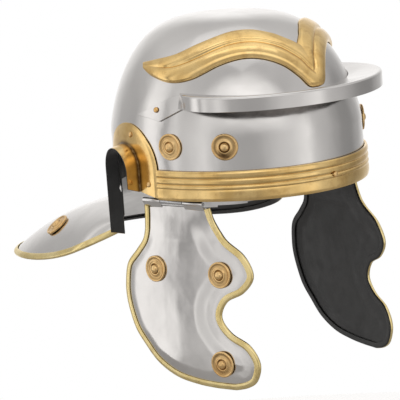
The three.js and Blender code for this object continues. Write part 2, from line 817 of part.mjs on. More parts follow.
const cheekPieces = {
  cheek_guard: [cheekGeometry(), steel],
  cheek_edging: [cheekEdgingGeometry(), brass],
  hinge_leaf: [leafGeometry(), steel],
  hinge_pin: [pinGeometry(), steel],
};
for (const [name, [geometry, finish]] of Object.entries(cheekPieces)) {
  addPiece(`${name}_right`, geometry, finish);
  addPiece(`${name}_left`, mirrored(geometry), finish);
}

// Rosette: a turned disc with a raised rim, a ring and a domed rivet in the middle
const rosetteTable = [
  { radius: 0, rise: 0 },
  { radius: 1, rise: 0 },
  { radius: 0.97, rise: 0.36 },
  { radius: 0.8, rise: 0.3 },
  { radius: 0.6, rise: 0.56 },
  { radius: 0.36, rise: 0.4 },
  { radius: 0.26, rise: 0.9 },
  { radius: 0, rise: 1 },
];

// Parts that sit on a surface: the lathe's axis is set along the surface's normal
const rosetteSides = 10;
const rivetSides = 8;

function addTurned(name, profile, sides, place, normal) {
  const mesh = addPiece(name, new THREE.LatheGeometry(profile, sides), brass);
  mesh.position.copy(place.clone().addScaledVector(normal, fitGap));
  mesh.quaternion.setFromUnitVectors(vec(0, 1, 0), normal);
}

function addPair(name, profile, sides, place, normal) {
  addTurned(`${name}_right`, profile, sides, place, normal);
  const flip = vec(-1, 1, 1);
  addTurned(`${name}_left`, profile, sides, place.clone().multiply(flip), normal.clone().multiply(flip));
}

const rosetteProfile = rosetteTable.map((row) => (
  new THREE.Vector2(row.radius * rosetteRadius, row.rise * rosetteRise)));
const rivetProfile = [[0, 0], [1, 0], [0.92, 0.5], [0.55, 0.9], [0, 1]].map(([radius, rise]) => (
  new THREE.Vector2(radius * rivetRadius, rise * rivetRise)));

function onBowl(turn, height, lift) {
  const place = bowlPoint(turn, height, lift);
  return { place, normal: bowlPoint(turn, height, lift + 1).sub(place) };
}

const bowlRosettes = { temple: 76.5, brow: 51 };
for (const [name, turn] of Object.entries(bowlRosettes)) {
  const { place, normal } = onBowl(turn * degree, rosetteHeight, 0);
  addPair(`rosette_${name}`, rosetteProfile, rosetteSides, place, normal);
}

const cheekRosettes = {
  rear: { along: -0.038, drop: 0.371 },
  front: { along: 0.441, drop: 0.374 },
  lower: { along: 0.444, drop: 0.853 },
};
for (const [name, { along, drop }] of Object.entries(cheekRosettes)) {
  const spot = new THREE.Vector2(along * cheekWidth, drop * cheekDrop);
  const [place, normal] = [cheekPoint(spot), cheekNormal(spot)];
  addPair(`rosette_cheek_${name}`, rosetteProfile, rosetteSides, place, normal);
}

// Rosettes on the neck guard, at a share of the way round and of the way out
const guardRosette = { round: 0.4, out: 0.6 };

function guardPlace(round, out) {
  return guardSection(mix(guardStartTurn, Math.PI, round), [out]).pop();
}

const guardSpot = guardPlace(guardRosette.round, guardRosette.out);
const guardStep = 0.01;
const guardNormal = guardPlace(guardRosette.round + guardStep, guardRosette.out).sub(guardSpot)
  .cross(guardPlace(guardRosette.round, guardRosette.out + guardStep).sub(guardSpot)).normalize();
if (guardNormal.z < 0) guardNormal.negate();
addPair("rosette_neck_guard", rosetteProfile, rosetteSides, guardSpot, guardNormal);

// Rivets: one in each of the brow guard's tabs
const tabRivet = tabPlace(0.55, 0.6);
const tabSpot = onBowl(tabRivet.turn, tabRivet.height, tabLift);
addPair("rivet_tab", rivetProfile, rivetSides, tabSpot.place, tabSpot.normal);

// Three round each ear guard, as angles about the plate's centre from the rear
const earRivetAngles = { top: 103.5, front: 203, rear: -7 };
const earRivetRadius = mix(earArchRadius, earPlateRadius, 0.55);
for (const [name, angle] of Object.entries(earRivetAngles)) {
  const y = earPlateY + earRivetRadius * Math.cos(angle * degree);
  const z = earPlateZ + earRivetRadius * Math.sin(angle * degree);
  const { place, normal } = onBowl(Math.acos(-y / (halfLength * bowlShare(z))), z, earLift);
  addPair(`rivet_ear_${name}`, rivetProfile, rivetSides, place, normal);
}

// And one in the middle of the brow band
const bandRivet = onBowl(0, fitGap + bandHeight / 2, 2 * fitGap + brassSheet + bandProud);
addTurned("rivet_band", rivetProfile, rivetSides, bandRivet.place, bandRivet.normal);

// The origin is the inside of the crown
shell.position.z = steelSheet - bowlHeight;

export default helmet;
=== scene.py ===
# A Roman legionary helmet of polished steel with brass fittings, finished for rendering.
# Metres, +Z up, the face opening towards -Y, the wearer's right towards -X. Heights are worked
# out from the bowl's rim, and every mesh is lowered as it is made, so that the origin is the
# inside of the crown.
import json
import math

import bpy
import numpy as np
from mathutils import Matrix, Vector


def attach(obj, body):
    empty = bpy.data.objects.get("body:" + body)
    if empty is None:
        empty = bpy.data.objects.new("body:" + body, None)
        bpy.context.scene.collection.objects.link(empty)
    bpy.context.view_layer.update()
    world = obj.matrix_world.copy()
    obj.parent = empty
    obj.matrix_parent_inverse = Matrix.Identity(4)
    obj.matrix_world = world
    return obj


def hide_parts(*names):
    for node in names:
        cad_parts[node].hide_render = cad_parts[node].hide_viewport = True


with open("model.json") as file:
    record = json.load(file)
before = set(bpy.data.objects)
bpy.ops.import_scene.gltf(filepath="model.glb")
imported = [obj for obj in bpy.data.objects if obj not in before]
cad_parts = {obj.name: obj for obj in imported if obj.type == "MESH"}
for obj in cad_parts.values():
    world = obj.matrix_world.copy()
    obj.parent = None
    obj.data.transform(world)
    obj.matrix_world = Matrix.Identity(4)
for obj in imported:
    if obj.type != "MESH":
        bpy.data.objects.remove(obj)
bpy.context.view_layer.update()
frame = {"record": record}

# Sheet thicknesses and the clearance between pieces that touch
STEEL_SHEET = 0.0012
BRASS_SHEET = 0.0008
FIT_GAP = 0.0003
EDGE_BULGE = 0.00028

# Bowl
BOWL_WIDTH = 0.203
BOWL_LENGTH = 0.229
BOWL_HEIGHT = 0.144
WALL_HEIGHT = 0.050
CROWN_BACK = 0.0015
CROWN_ROUND = 1.3
CROWN_FULL = 3.6
HALF_WIDTH = BOWL_WIDTH / 2
HALF_LENGTH = BOWL_LENGTH / 2
RIM_Z = STEEL_SHEET - BOWL_HEIGHT

# Ear arches
EAR_ARCH_Y = 0.031
EAR_ARCH_Z = 0.025
EAR_ARCH_RADIUS = 0.0195
EAR_RIM_RISE = 0.004
EAR_RIM_RUN = 0.026
EAR_CUT_RADIUS = EAR_ARCH_RADIUS + FIT_GAP

# Neck guard
GUARD_BACK = 0.230
GUARD_WIDTH = 0.236
GUARD_CORNER_IN = 0.020
GUARD_CORNER_DROP = 0.0335
GUARD_BACK_DROP = 0.067
GUARD_SQUARE = 3.6
GUARD_SLOPE = math.radians(10)
GUARD_FLARE = 4.5
GUARD_DROP_POWER = 3
GUARD_BEND_POWER = 2.2
NAPE_DROP_SIDE = 0.024
NAPE_DROP_BACK = 0.017
NAPE_FOLD = 0.008
PAINTED_RIM = 0.009
FOLD_ANGLE = math.radians(80)
FOLD_SHARE = 0.6

# Brow guard
BROW_GUARD_HEIGHT = 0.0892
BROW_GUARD_RIM = 0.0123
BROW_GUARD_REACH = 0.031
BROW_GUARD_TIP_Y = -0.035
BROW_GUARD_BEND = 0.0022
BROW_GUARD_DIP = 0.0045
SHELF_LIFT = FIT_GAP + STEEL_SHEET
SHELF_TIP_POWER = 7
SHELF_NARROWING = 0.2
TAB_LENGTH = 0.049
TAB_DROP = 0.022
TAB_OVERLAP = 0.003
TAB_LIFT = SHELF_LIFT + FIT_GAP / 2

# Brow band and eyebrows
BAND_HEIGHT = 0.025
BAND_PROUD = 0.0019
BROW_HEIGHT = 0.0032

# Ear guards
EAR_PLATE_Y = 0.027
EAR_PLATE_Z = 0.024
EAR_PLATE_RADIUS = 0.038
EAR_FLANGE = 0.0138
EAR_FLANGE_DROOP = 0.002
EAR_PLATE_ROUND = 0.0004
EAR_PLATE_ROUND_WIDTH = 0.0045
EAR_FLANGE_CUT = 0.006
EAR_LEG_FOOT = 0.0055
EAR_PLATE_FOOT = 0.001
EAR_LEG_BELOW = 0.003
EAR_LEG_IN = 0.001
EAR_FOLD = 0.0013
# Width of the band of painted shade along the ear guard's fold
EAR_FOLD_SHADE_WIDTH = 0.0022
EAR_LIFT = 2 * FIT_GAP + BRASS_SHEET

# Cheek guards
CHEEK_WIDTH = 0.1435
CHEEK_DROP = 0.1568
CHEEK_DISH_DOWN = 0.0046
CHEEK_DISH_ACROSS = 0.00245
CHEEK_SPLAY = math.radians(2.5)
CHEEK_SET_IN = 0.0006
EDGING_WIDTH = 0.0042
EDGING_UNDER = 0.0036
EDGING_GAP = 0.0005
EDGING_REACH = EDGING_GAP + BRASS_SHEET

# Hinges
HINGE_REAR_Y = 0.016
HINGE_FRONT_Y = -0.0495
HINGE_INSET = 0.0041
HINGE_DROP = 0.003
KNUCKLE_RADIUS = 0.0021
PIN_RADIUS = 0.0008
LEAF_HEIGHT = 0.017

# Rosettes and rivets
ROSETTE_RADIUS = 0.0112
ROSETTE_RISE = 0.0044
ROSETTE_HEIGHT = 0.0455
RIVET_RADIUS = 0.0024
RIVET_RISE = 0.0016

BODY_OF = {
    node: body
    for body, nodes in frame["record"]["behaviour"]["bodies"].items()
    for node in nodes
}


# Small tools for arrays of points

def stack(x, y, z):
    return np.stack(np.broadcast_arrays(x, y, z), axis=-1).astype(float)


def unit(vectors):
    return vectors / np.maximum(1e-12, np.linalg.norm(vectors, axis=-1, keepdims=True))


def mix(a, b, share):
    return a + (b - a) * share


def smooth_step(value):
    value = np.clip(value, 0, 1)
    return value * value * (3 - 2 * value)


def spline(values, shares):
    """A Catmull-Rom curve through values, at shares of the way along it."""
    values = np.asarray(values, float)
    last = len(values) - 1
    place = np.clip(shares, 0, 1) * last
    start = np.minimum(np.floor(place).astype(int), last - 1)
    t = place - start
    if values.ndim > 1:
        t = t[..., None]
    p0, p1 = values[np.maximum(start - 1, 0)], values[start]
    p2, p3 = values[start + 1], values[np.minimum(start + 2, last)]
    v0, v1 = (p2 - p0) / 2, (p3 - p1) / 2
    return (2 * p1 - 2 * p2 + v0 + v1) * t ** 3 + (3 * p2 - 3 * p1 - 2 * v0 - v1) * t ** 2 + v0 * t + p1


# Meshes in the making: points, faces, a tag on each face and a mark on each point

OUTER, INNER, EDGE, BARE = 0, 1, 2, 3


def triangles(faces):
    """Every face cut into a fan of triangles."""
    return np.array([(face[0], face[k], face[k + 1]) for face in faces for k in range(1, len(face) - 1)])


class Surface:
    def __init__(self, points, faces, tags, marks=None):
        self.points = np.asarray(points, float)
        self.faces = list(faces)
        self.tags = list(tags)
        self.marks = np.zeros(len(self.points)) if marks is None else np.asarray(marks, float)

    def outward(self):
        """The same closed surface with its faces pointing out."""
        a, b, c = self.points[triangles(self.faces)].transpose(1, 0, 2)
        if (a * np.cross(b, c)).sum() < 0:
            self.faces = [face[::-1] for face in self.faces]
        return self

    def mirrored(self):
        faces = [face[::-1] for face in self.faces]
        return Surface(self.points * [-1, 1, 1], faces, self.tags, self.marks)


def joined(surfaces):
    points, faces, tags, marks, count = [], [], [], [], 0
    for surface in surfaces:
        points.append(surface.points)
        marks.append(surface.marks)
        faces += [tuple(k + count for k in face) for face in surface.faces]
        tags += surface.tags
        count += len(surface.points)
    return Surface(np.concatenate(points), faces, tags, np.concatenate(marks))


def merged_grid(grid, corners=None):
    """Points and faces of a grid; corners says which of its points are left out."""
    rows, columns = grid.shape[:2]
    flat = grid.reshape(-1, 3)
    _, first, ids = np.unique(np.round(flat, 7), axis=0, return_index=True, return_inverse=True)
    ids = ids.reshape(rows, columns)
    named = ids if corners is None else np.where(corners, -1, ids)
    cells = np.stack([named[:-1, :-1], named[:-1, 1:], named[1:, 1:], named[1:, :-1]], -1)
    faces = []
    for cell in cells.reshape(-1, 4).tolist():
        kept = tuple(k for k in dict.fromkeys(cell) if k >= 0)
        if len(kept) > 2:
            faces.append(kept)
    return flat[first], faces, ids


def point_normals(points, faces):
    corners = triangles(faces)
    a, b, c = points[corners].transpose(1, 0, 2)
    cross = np.cross(b - a, c - a)
    normals = np.zeros_like(points)
    for k in range(3):
        np.add.at(normals, corners[:, k], cross)
    return unit(normals)


def shell(grid, thickness, corners=None, drop=None, inner_grid=None, mark_grid=None):
    """A closed sheet under a grid of outer points, with rounded edges: columns run to the
    wearer's right and rows run down. drop(middle) leaves out the faces that it is true for."""
    points, faces, ids = merged_grid(grid, corners)
    if drop is not None:
        faces = [face for face in faces if not drop(points[list(face)].mean(0))]
    normals = point_normals(points, faces)
    if inner_grid is None:
        inner = points - normals * thickness
    else:
        inner = np.zeros_like(points)
        inner[ids.ravel()] = inner_grid.reshape(-1, 3)
    edges = {(face[k - 1], face[k]) for face in faces for k in range(len(face))}
    rim = [(p, q) for p, q in edges if (q, p) not in edges]
    after, before = {p: q for p, q in rim}, {q: p for p, q in rim}
    count = len(points)
    all_points = [points, inner]
    strip, steps = {}, 4
    for k, p in enumerate(after):
        tangent = unit(points[after[p]] - points[before.get(p, p)])
        outward = unit(np.cross(tangent, normals[p]))
        bulge = [EDGE_BULGE * math.sin(math.pi * s / steps) ** 0.7 for s in range(1, steps)]
        ring = [mix(points[p], inner[p], s / steps) + outward * bulge[s - 1] for s in range(1, steps)]
        all_points.append(np.array(ring))
        strip[p] = [p] + [2 * count + k * (steps - 1) + s for s in range(steps - 1)] + [p + count]
    faces_all = list(faces) + [tuple(k + count for k in face[::-1]) for face in faces]
    tags = [OUTER] * len(faces) + [INNER] * len(faces)
    for p, q in rim:
        if q not in strip:
            continue
        for s in range(steps):
            faces_all.append((strip[q][s], strip[p][s], strip[p][s + 1], strip[q][s + 1]))
            tags.append(EDGE)
    surface = Surface(np.concatenate(all_points), faces_all, tags)
    if mark_grid is not None:
        surface.marks[ids.ravel()] = mark_grid.ravel()
    return tidy(surface).outward()


def retag(surface, old, new, where):
    """Gives a tag's faces whose middle is so placed another tag."""
    for k, face in enumerate(surface.faces):
        if surface.tags[k] == old and where(surface.points[list(face)].mean(0)):
            surface.tags[k] = new


def tidy(surface):
    """The same surface without the points that no face uses."""
    used = sorted({k for face in surface.faces for k in face})
    place = {k: n for n, k in enumerate(used)}
    faces = [tuple(place[k] for k in face) for face in surface.faces]
    return Surface(surface.points[used], faces, surface.tags, surface.marks[used])


def sweep(place, outward, up, section, tags):
    """A closed section of [outward, up] points swept along stations, with flat ends."""
    section = np.asarray(section, float)
    size, count = len(section), len(place)
    points = (place[:, None] + outward[:, None] * section[None, :, :1] + up[:, None] * section[None, :, 1:])
    faces, face_tags = [], []
    for i in range(count - 1):
        for j in range(size):
            a, b = i * size + j, i * size + (j + 1) % size
            faces.append((a, b, b + size, a + size))
            face_tags.append(tags[j])
    faces.append(tuple(range(size))[::-1])
    faces.append(tuple(range((count - 1) * size, count * size)))
    face_tags += [EDGE, EDGE]
    return Surface(points.reshape(-1, 3), faces, face_tags).outward()


def ribbon(path, thickness):
    """The closed outline of a strip of even thickness along a path, with rounded ends, and a
    tag for each of its sides."""
    path = np.asarray(path, float)
    along = unit(np.gradient(path, axis=0))
    side = np.stack([-along[:, 1], along[:, 0]], -1)
    half = thickness / 2
    top, bottom = path + side * half, (path - side * half)[::-1]
    turns = np.linspace(90, -90, 6)[1:-1] * math.pi / 180
    start = [path[-1] + half * (math.cos(t) * along[-1] + math.sin(t) * side[-1]) for t in turns]
    end = [path[0] - half * (math.cos(t) * along[0] + math.sin(t) * side[0]) for t in turns]
    outline = np.concatenate([top, start, bottom, end])
    tags = [OUTER] * len(top) + [EDGE] * len(start) + [INNER] * len(bottom) + [EDGE] * len(end)
    return outline, tags


def lathe(profile, sides, place, normal, turn=0.0, marks=None):
    """A profile of [radius, rise] points turned about a normal; the first and last are on it."""
    normal = unit(np.asarray(normal, float))
    side = unit(np.cross(normal, [0.31, 0.17, 0.93]))
    other = np.cross(normal, side)
    points, faces = [place + normal * profile[0][1]], []
    for radius, rise in profile[1:-1]:
        for k in range(sides):
            angle = turn + 2 * math.pi * k / sides
            spoke = side * math.cos(angle) + other * math.sin(angle)
            points.append(place + spoke * radius + normal * rise)
    points.append(place + normal * profile[-1][1])
    rings = len(profile) - 2
    for k in range(sides):
        after = (k + 1) % sides
        faces.append((0, 1 + after, 1 + k))
        for ring in range(rings - 1):
            low = 1 + ring * sides
            faces.append((low + k, low + after, low + sides + after, low + sides + k))
        last = 1 + (rings - 1) * sides
        faces.append((last + k, last + after, len(points) - 1))
    values = np.zeros(len(points))
    if marks is not None:
        values = np.concatenate([[marks[0]], np.repeat(marks[1:-1], sides), [marks[-1]]])
    return Surface(np.array(points), faces, [OUTER] * len(faces), values).outward()


# Materials

def node(tree, kind, **settings):
    made = tree.nodes.new(kind)
    for name, value in settings.items():
        setattr(made, name, value)
    return made


def noise(tree, scale, detail=3.0, stretch=(1, 1, 1), blur=0.5, offset=(0, 0, 0)):
    """Noise by place on the object; scale is in waves to the metre."""
    place = node(tree, "ShaderNodeTexCoord")
    mapping = node(tree, "ShaderNodeMapping")
    mapping.inputs["Scale"].default_value = stretch
    mapping.inputs["Location"].default_value = offset
    texture = node(tree, "ShaderNodeTexNoise")
    texture.inputs["Scale"].default_value = scale
    texture.inputs["Detail"].default_value = detail
    texture.inputs["Roughness"].default_value = blur
    tree.links.new(place.outputs["Object"], mapping.inputs["Vector"])
    tree.links.new(mapping.outputs["Vector"], texture.inputs["Vector"])
    return texture.outputs["Fac"]


def ramp(tree, value, stops):
    """A colour ramp with stops of (place, colour)."""
    made = node(tree, "ShaderNodeValToRGB")
    elements = made.color_ramp.elements
    for k, (place, colour) in enumerate(stops):
        element = elements[k] if k < 2 else elements.new(place)
        element.position = place
        element.color = (*colour, 1)
    tree.links.new(value, made.inputs["Fac"])
    return made.outputs["Color"]


def level(tree, value, low, high, start=0.35, end=0.65):
    """Turns a value between start and end into one between low and high."""
    made = node(tree, "ShaderNodeMapRange", clamp=True)
    for name, number in (("From Min", start), ("From Max", end), ("To Min", low), ("To Max", high)):
        made.inputs[name].default_value = number
    tree.links.new(value, made.inputs["Value"])
    return made.outputs["Result"]


def blend_colours(tree, share, first, second):
    made = node(tree, "ShaderNodeMix", data_type="RGBA")
    tree.links.new(share, made.inputs["Factor"])
    for socket, colour in ((made.inputs[6], first), (made.inputs[7], second)):
        if isinstance(colour, tuple):
            socket.default_value = (*colour, 1)
        else:
            tree.links.new(colour, socket)
    return made.outputs[2]


def bumped(tree, heights):
    """Bump nodes in a row, one for each (height, distance in metres)."""
    before = None
    for height, distance in heights:
        made = node(tree, "ShaderNodeBump")
        made.inputs["Strength"].default_value = 1
        made.inputs["Distance"].default_value = distance
        tree.links.new(height, made.inputs["Height"])
        if before is not None:
            tree.links.new(before, made.inputs["Normal"])
        before = made.outputs["Normal"]
    return before


def times(tree, a, b):
    made = node(tree, "ShaderNodeMath", operation="MULTIPLY")
    for socket, value in zip(made.inputs, (a, b)):
        if isinstance(value, (int, float)):
            socket.default_value = value
        else:
            tree.links.new(value, socket)
    return made.outputs["Value"]


def recess_mark(tree):
    made = node(tree, "ShaderNodeAttribute", attribute_name="recess")
    return made.outputs["Fac"]


def new_material(name, metallic):
    material = bpy.data.materials.new(name)
    material.use_nodes = True
    shader = material.node_tree.nodes["Principled BSDF"]
    shader.inputs["Metallic"].default_value = metallic
    return material, material.node_tree, shader.inputs


def polished_steel():
    material, tree, sockets = new_material("polished_steel", 1)
    tone = noise(tree, 11, 4)
    colour = ramp(tree, tone, [(0.3, (0.60, 0.585, 0.575)), (0.7, (0.70, 0.685, 0.67))])
    tree.links.new(colour, sockets["Base Color"])
    haze = noise(tree, 26, 5, blur=0.6)
    tree.links.new(level(tree, haze, 0.12, 0.22), sockets["Roughness"])
    dents = noise(tree, 30, 1.5)
    ripple = noise(tree, 95, 2)
    streaks = noise(tree, 42, 2, stretch=(1, 1, 0.16))
    hairlines = noise(tree, 700, 2, stretch=(1, 1, 0.12))
    normal = bumped(tree, [(dents, 0.0006), (streaks, 0.00022), (ripple, 0.00005), (hairlines, 0.000004)])
    tree.links.new(normal, sockets["Normal"])
    return material


def hinge_steel():
    material, tree, sockets = new_material("hinge_steel", 1)
    tone = noise(tree, 60, 4)
    colour = ramp(tree, tone, [(0.3, (0.42, 0.42, 0.43)), (0.7, (0.62, 0.62, 0.62))])
    tree.links.new(colour, sockets["Base Color"])
    tree.links.new(level(tree, noise(tree, 180, 3), 0.22, 0.4), sockets["Roughness"])
    tree.links.new(bumped(tree, [(noise(tree, 320, 3), 0.00004)]), sockets["Normal"])
    return material


def bare_steel():
    """Unpolished steel, where the paint of the inside stops."""
    material, tree, sockets = new_material("bare_steel", 0.35)
    colour = ramp(tree, noise(tree, 30, 5), [(0.3, (0.50, 0.49, 0.48)), (0.7, (0.72, 0.71, 0.70))])
    tree.links.new(colour, sockets["Base Color"])
    tree.links.new(level(tree, noise(tree, 80, 3), 0.3, 0.45), sockets["Roughness"])
    tree.links.new(bumped(tree, [(noise(tree, 90, 3), 0.0002)]), sockets["Normal"])
    return material


def brass(name, light, dark, roughness, mottle):
    """Rolled or cast brass: mottle is how strongly brown patches show."""
    material, tree, sockets = new_material(name, 1)
    colour = ramp(tree, noise(tree, 42, 5, blur=0.6), [(0.32, dark), (0.62, light)])
    patches = level(tree, noise(tree, 75, 6, blur=0.7, offset=(3, 1, 2)), 0, mottle, 0.52, 0.75)
    brown = (0.20, 0.085, 0.020)
    spotted = blend_colours(tree, patches, colour, brown)
    # The recess marks darken the brass towards dark brown: tarnish in the hollows of the rosettes and rivets, and
    # painted shade along the ear guards' fold
    darkening = times(tree, recess_mark(tree), level(tree, noise(tree, 260, 4), 0.8, 1, 0.35, 0.6))
    tree.links.new(blend_colours(tree, darkening, spotted, (0.075, 0.035, 0.014)), sockets["Base Color"])
    tree.links.new(level(tree, noise(tree, 55, 5), *roughness), sockets["Roughness"])
    waves = noise(tree, 60, 2)
    grain = noise(tree, 420, 3)
    tree.links.new(bumped(tree, [(waves, 0.00022), (grain, 0.000016)]), sockets["Normal"])
    return material


def black_satin():
    material, tree, sockets = new_material("black_satin", 0)
    colour = ramp(tree, noise(tree, 70, 5), [(0.3, (0.009, 0.0088, 0.0084)), (0.75, (0.017, 0.016, 0.0155))])
    tree.links.new(colour, sockets["Base Color"])
    tree.links.new(level(tree, noise(tree, 90, 4), 0.34, 0.45), sockets["Roughness"])
    normal = bumped(tree, [(noise(tree, 40, 2), 0.0003), (noise(tree, 520, 3), 0.00003)])
    tree.links.new(normal, sockets["Normal"])
    return material


MATERIALS = {
    "steel": polished_steel(),
    "hinge": hinge_steel(),
    "bare": bare_steel(),
    "edging": brass("edging_brass", (0.88, 0.73, 0.38), (0.70, 0.54, 0.22), (0.2, 0.34), 0.3),
    "sheet": brass("sheet_brass", (0.84, 0.60, 0.265), (0.70, 0.465, 0.175), (0.12, 0.24), 0.38),
    "fitting": brass("fitting_brass", (0.86, 0.60, 0.29), (0.70, 0.43, 0.17), (0.2, 0.34), 0.5),
    "black": black_satin(),
}


def add_piece(name, surface, finishes, body_node=None, sharp=38):
    """Adds a mesh that stands for the node of the same name; finishes are the materials of
    its outer faces, inner faces, edges and bare faces, in the order of the tags."""
    mesh = bpy.data.meshes.new(f"{name}_fine")
    mesh.from_pydata((surface.points + [0, 0, RIM_Z]).tolist(), [], surface.faces)
    kinds = sorted(set(finishes), key=finishes.index)
    for kind in kinds:
        mesh.materials.append(MATERIALS[kind])
    mesh.polygons.foreach_set("material_index", [kinds.index(finishes[tag]) for tag in surface.tags])
    mesh.polygons.foreach_set("use_smooth", [True] * len(mesh.polygons))
    marks = mesh.attributes.new("recess", "FLOAT", "POINT")
    marks.data.foreach_set("value", surface.marks.astype(np.float32))
    mesh.set_sharp_from_angle(angle=math.radians(sharp))
    mesh.update()
    piece = bpy.data.objects.new(f"{name}_fine", mesh)
    bpy.context.scene.collection.objects.link(piece)
    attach(piece, BODY_OF[body_node or name])
    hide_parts(name)
    return piece


def add_pair(name, surface, finishes, sharp=38):
    add_piece(f"{name}_right", surface, finishes, sharp=sharp)
    add_piece(f"{name}_left", surface.mirrored(), finishes, sharp=sharp)


# The bowl's shape

def bowl_share(height):
    rise = np.clip((np.asarray(height, float) - WALL_HEIGHT) / (BOWL_HEIGHT - WALL_HEIGHT), 0, 1)
    return np.maximum(0, 1 - rise ** CROWN_ROUND) ** (1 / CROWN_FULL)


def height_at_share(share):
    return WALL_HEIGHT + (BOWL_HEIGHT - WALL_HEIGHT) * (1 - share ** CROWN_FULL) ** (1 / CROWN_ROUND)


def set_back(height):
    """How far behind the rim's middle the bowl's middle lies at a height."""
    return CROWN_BACK * np.maximum(0, np.asarray(height, float) / BOWL_HEIGHT) ** 2


def bowl_point(turn, height, lift=0.0):
    """A point on the bowl, turned from the front towards the wearer's right, and lifted."""
    turn, height = np.broadcast_arrays(np.asarray(turn, float), np.asarray(height, float))
    share = bowl_share(height)
    rise = np.maximum(1e-9, (height - WALL_HEIGHT) / (BOWL_HEIGHT - WALL_HEIGHT))
    x = -HALF_WIDTH * share * np.sin(turn)
    y = -HALF_LENGTH * share * np.cos(turn)
    bend = CROWN_ROUND * rise ** (CROWN_ROUND - 1) / (CROWN_FULL * (BOWL_HEIGHT - WALL_HEIGHT))
    lean = np.where(height > WALL_HEIGHT, bend * np.maximum(share, 1e-6) ** (2 - CROWN_FULL), 0)
    normal = unit(stack(x / HALF_WIDTH ** 2, y / HALF_LENGTH ** 2, lean))
    return stack(x, y + set_back(height), height) + normal * np.asarray(lift)[..., None]


def wall_x(y, height, lift):
    """How far out the bowl's wall stands at a place along Y."""
    share = bowl_share(height)
    along = np.minimum(0.999, np.abs(y - set_back(height)) / (HALF_LENGTH * share + lift))
    return (HALF_WIDTH * share + lift) * np.sqrt(1 - along ** 2)


def wall_turn(y):
    return math.acos(-y / HALF_LENGTH)


GUARD_START_Y = EAR_ARCH_Y + EAR_CUT_RADIUS
GUARD_START_TURN = wall_turn(GUARD_START_Y)


def guard_rim(share):
    """The neck guard's rim, from its front corner (share 0) round to the back (share 1)."""
    turn = np.clip(share, 0, 1) * math.pi / 2
    c, s = np.cos(turn), np.sin(turn)
    reach = (np.abs(c) ** GUARD_SQUARE + s ** GUARD_SQUARE) ** (-1 / GUARD_SQUARE)
    along = s * reach
    widened = np.sin(np.minimum(1, along * GUARD_FLARE) * math.pi / 2)
    flare = mix(1 - GUARD_CORNER_IN / (GUARD_WIDTH / 2), 1, widened)
    y = mix(GUARD_START_Y, GUARD_BACK, along)
    drop = mix(GUARD_BACK_DROP, GUARD_CORNER_DROP, np.maximum(0, 1 - along) ** GUARD_DROP_POWER)
    return stack(-GUARD_WIDTH / 2 * c * reach * flare, y, -drop)


def guard_sections(turns, shares, fold_steps):
    """Sections of nape and neck guard, from under the rim down and out to the guard's edge:
    rows of points, a column for each turn."""
    side = np.where(turns > math.pi, -1, 1)
    near = np.where(turns > math.pi, 2 * math.pi - turns, turns)
    share = np.clip((near - GUARD_START_TURN) / (math.pi - GUARD_START_TURN), 0, 1)
    rim = guard_rim(share)
    wall = bowl_point(near, 0)
    out = (rim - wall) * [1, 1, 0]
    run = np.linalg.norm(out, axis=-1)
    out = unit(out)
    radius = np.minimum(NAPE_FOLD, run * FOLD_SHARE)
    fold = -mix(NAPE_DROP_SIDE, NAPE_DROP_BACK, np.clip(share * 2, 0, 1))
    rows = []
    for angle in np.linspace(0, FOLD_ANGLE, fold_steps):
        row = wall + out * (radius * (1 - math.cos(angle)))[:, None]
        row[:, 2] = fold + radius * (1 - math.sin(angle))
        rows.append(row)
    start = rows[-1]
    width = run - radius * (1 - math.cos(FOLD_ANGLE))
    slope = math.tan(GUARD_SLOPE) * width
    for step in shares:
        row = start + out * (width * step)[:, None]
        row[:, 2] = start[:, 2] - slope * step - (start[:, 2] - rim[:, 2] - slope) * step ** GUARD_BEND_POWER
        rows.append(row)
    return np.array(rows) * np.stack([side, np.ones_like(side), np.ones_like(side)], -1)


# Fine columns and rows of the bowl
FRONT_COLUMNS = 230
BACK_COLUMNS = 160
CORNER_CROWDING = 0.6
CROWN_ROWS = 70
WALL_ROWS = 32
NAPE_ROWS = 6
FOLD_ROWS = 9
GUARD_ROWS = 36


def back_turns(count):
    share = np.linspace(0, 1, count + 1)
    crowded = share - CORNER_CROWDING * np.sin(2 * math.pi * share) / (2 * math.pi)
    return mix(GUARD_START_TURN, 2 * math.pi - GUARD_START_TURN, crowded)


def crown_heights():
    """Heights of the crown's rows, an even way apart along its side."""
    share = np.linspace(0, 1, 4000)
    height = height_at_share(share)
    way = np.concatenate([[0], np.cumsum(np.hypot(np.diff(share * HALF_WIDTH), np.diff(height)))])
    return np.interp(np.linspace(0, way[-1], CROWN_ROWS + 1), way, height)


def ear_cut_line():
    """The edge of what the ear arch takes out of the wall, as [y, z] points."""
    front = EAR_ARCH_Y - EAR_CUT_RADIUS
    rise = np.linspace([front - EAR_RIM_RUN, 0], [front, EAR_RIM_RISE], 500)
    up = np.linspace([front, EAR_RIM_RISE], [front, EAR_ARCH_Z], 400)
    angle = np.linspace(math.pi, 0, 1200)
    arc = np.stack([EAR_ARCH_Y + EAR_CUT_RADIUS * np.cos(angle), EAR_ARCH_Z + EAR_CUT_RADIUS * np.sin(angle)], -1)
    return np.concatenate([rise, up, arc])


def ear_cut_top(y):
    """Height up to which the wall is cut away at a place along Y."""
    front = EAR_ARCH_Y - EAR_CUT_RADIUS
    rise = EAR_RIM_RISE * (y - front + EAR_RIM_RUN) / EAR_RIM_RUN
    arc = EAR_ARCH_Z + np.sqrt(np.maximum(0, EAR_CUT_RADIUS ** 2 - (y - EAR_ARCH_Y) ** 2))
    top = np.where(y < front, rise, arc)
    return np.where((y < front - EAR_RIM_RUN) | (y > GUARD_START_Y - 1e-5), -1.0, top)


RIM_LINE = guard_rim(np.linspace(0, 1, 300))


def is_bare(middle):
    """Whether a place under the nape and neck guard is away from the painted rim."""
    if middle[1] < GUARD_START_Y or middle[2] > 0:
        return False
    place = [-abs(middle[0]), middle[1], middle[2]]
    return np.linalg.norm(RIM_LINE - place, axis=1).min() > PAINTED_RIM


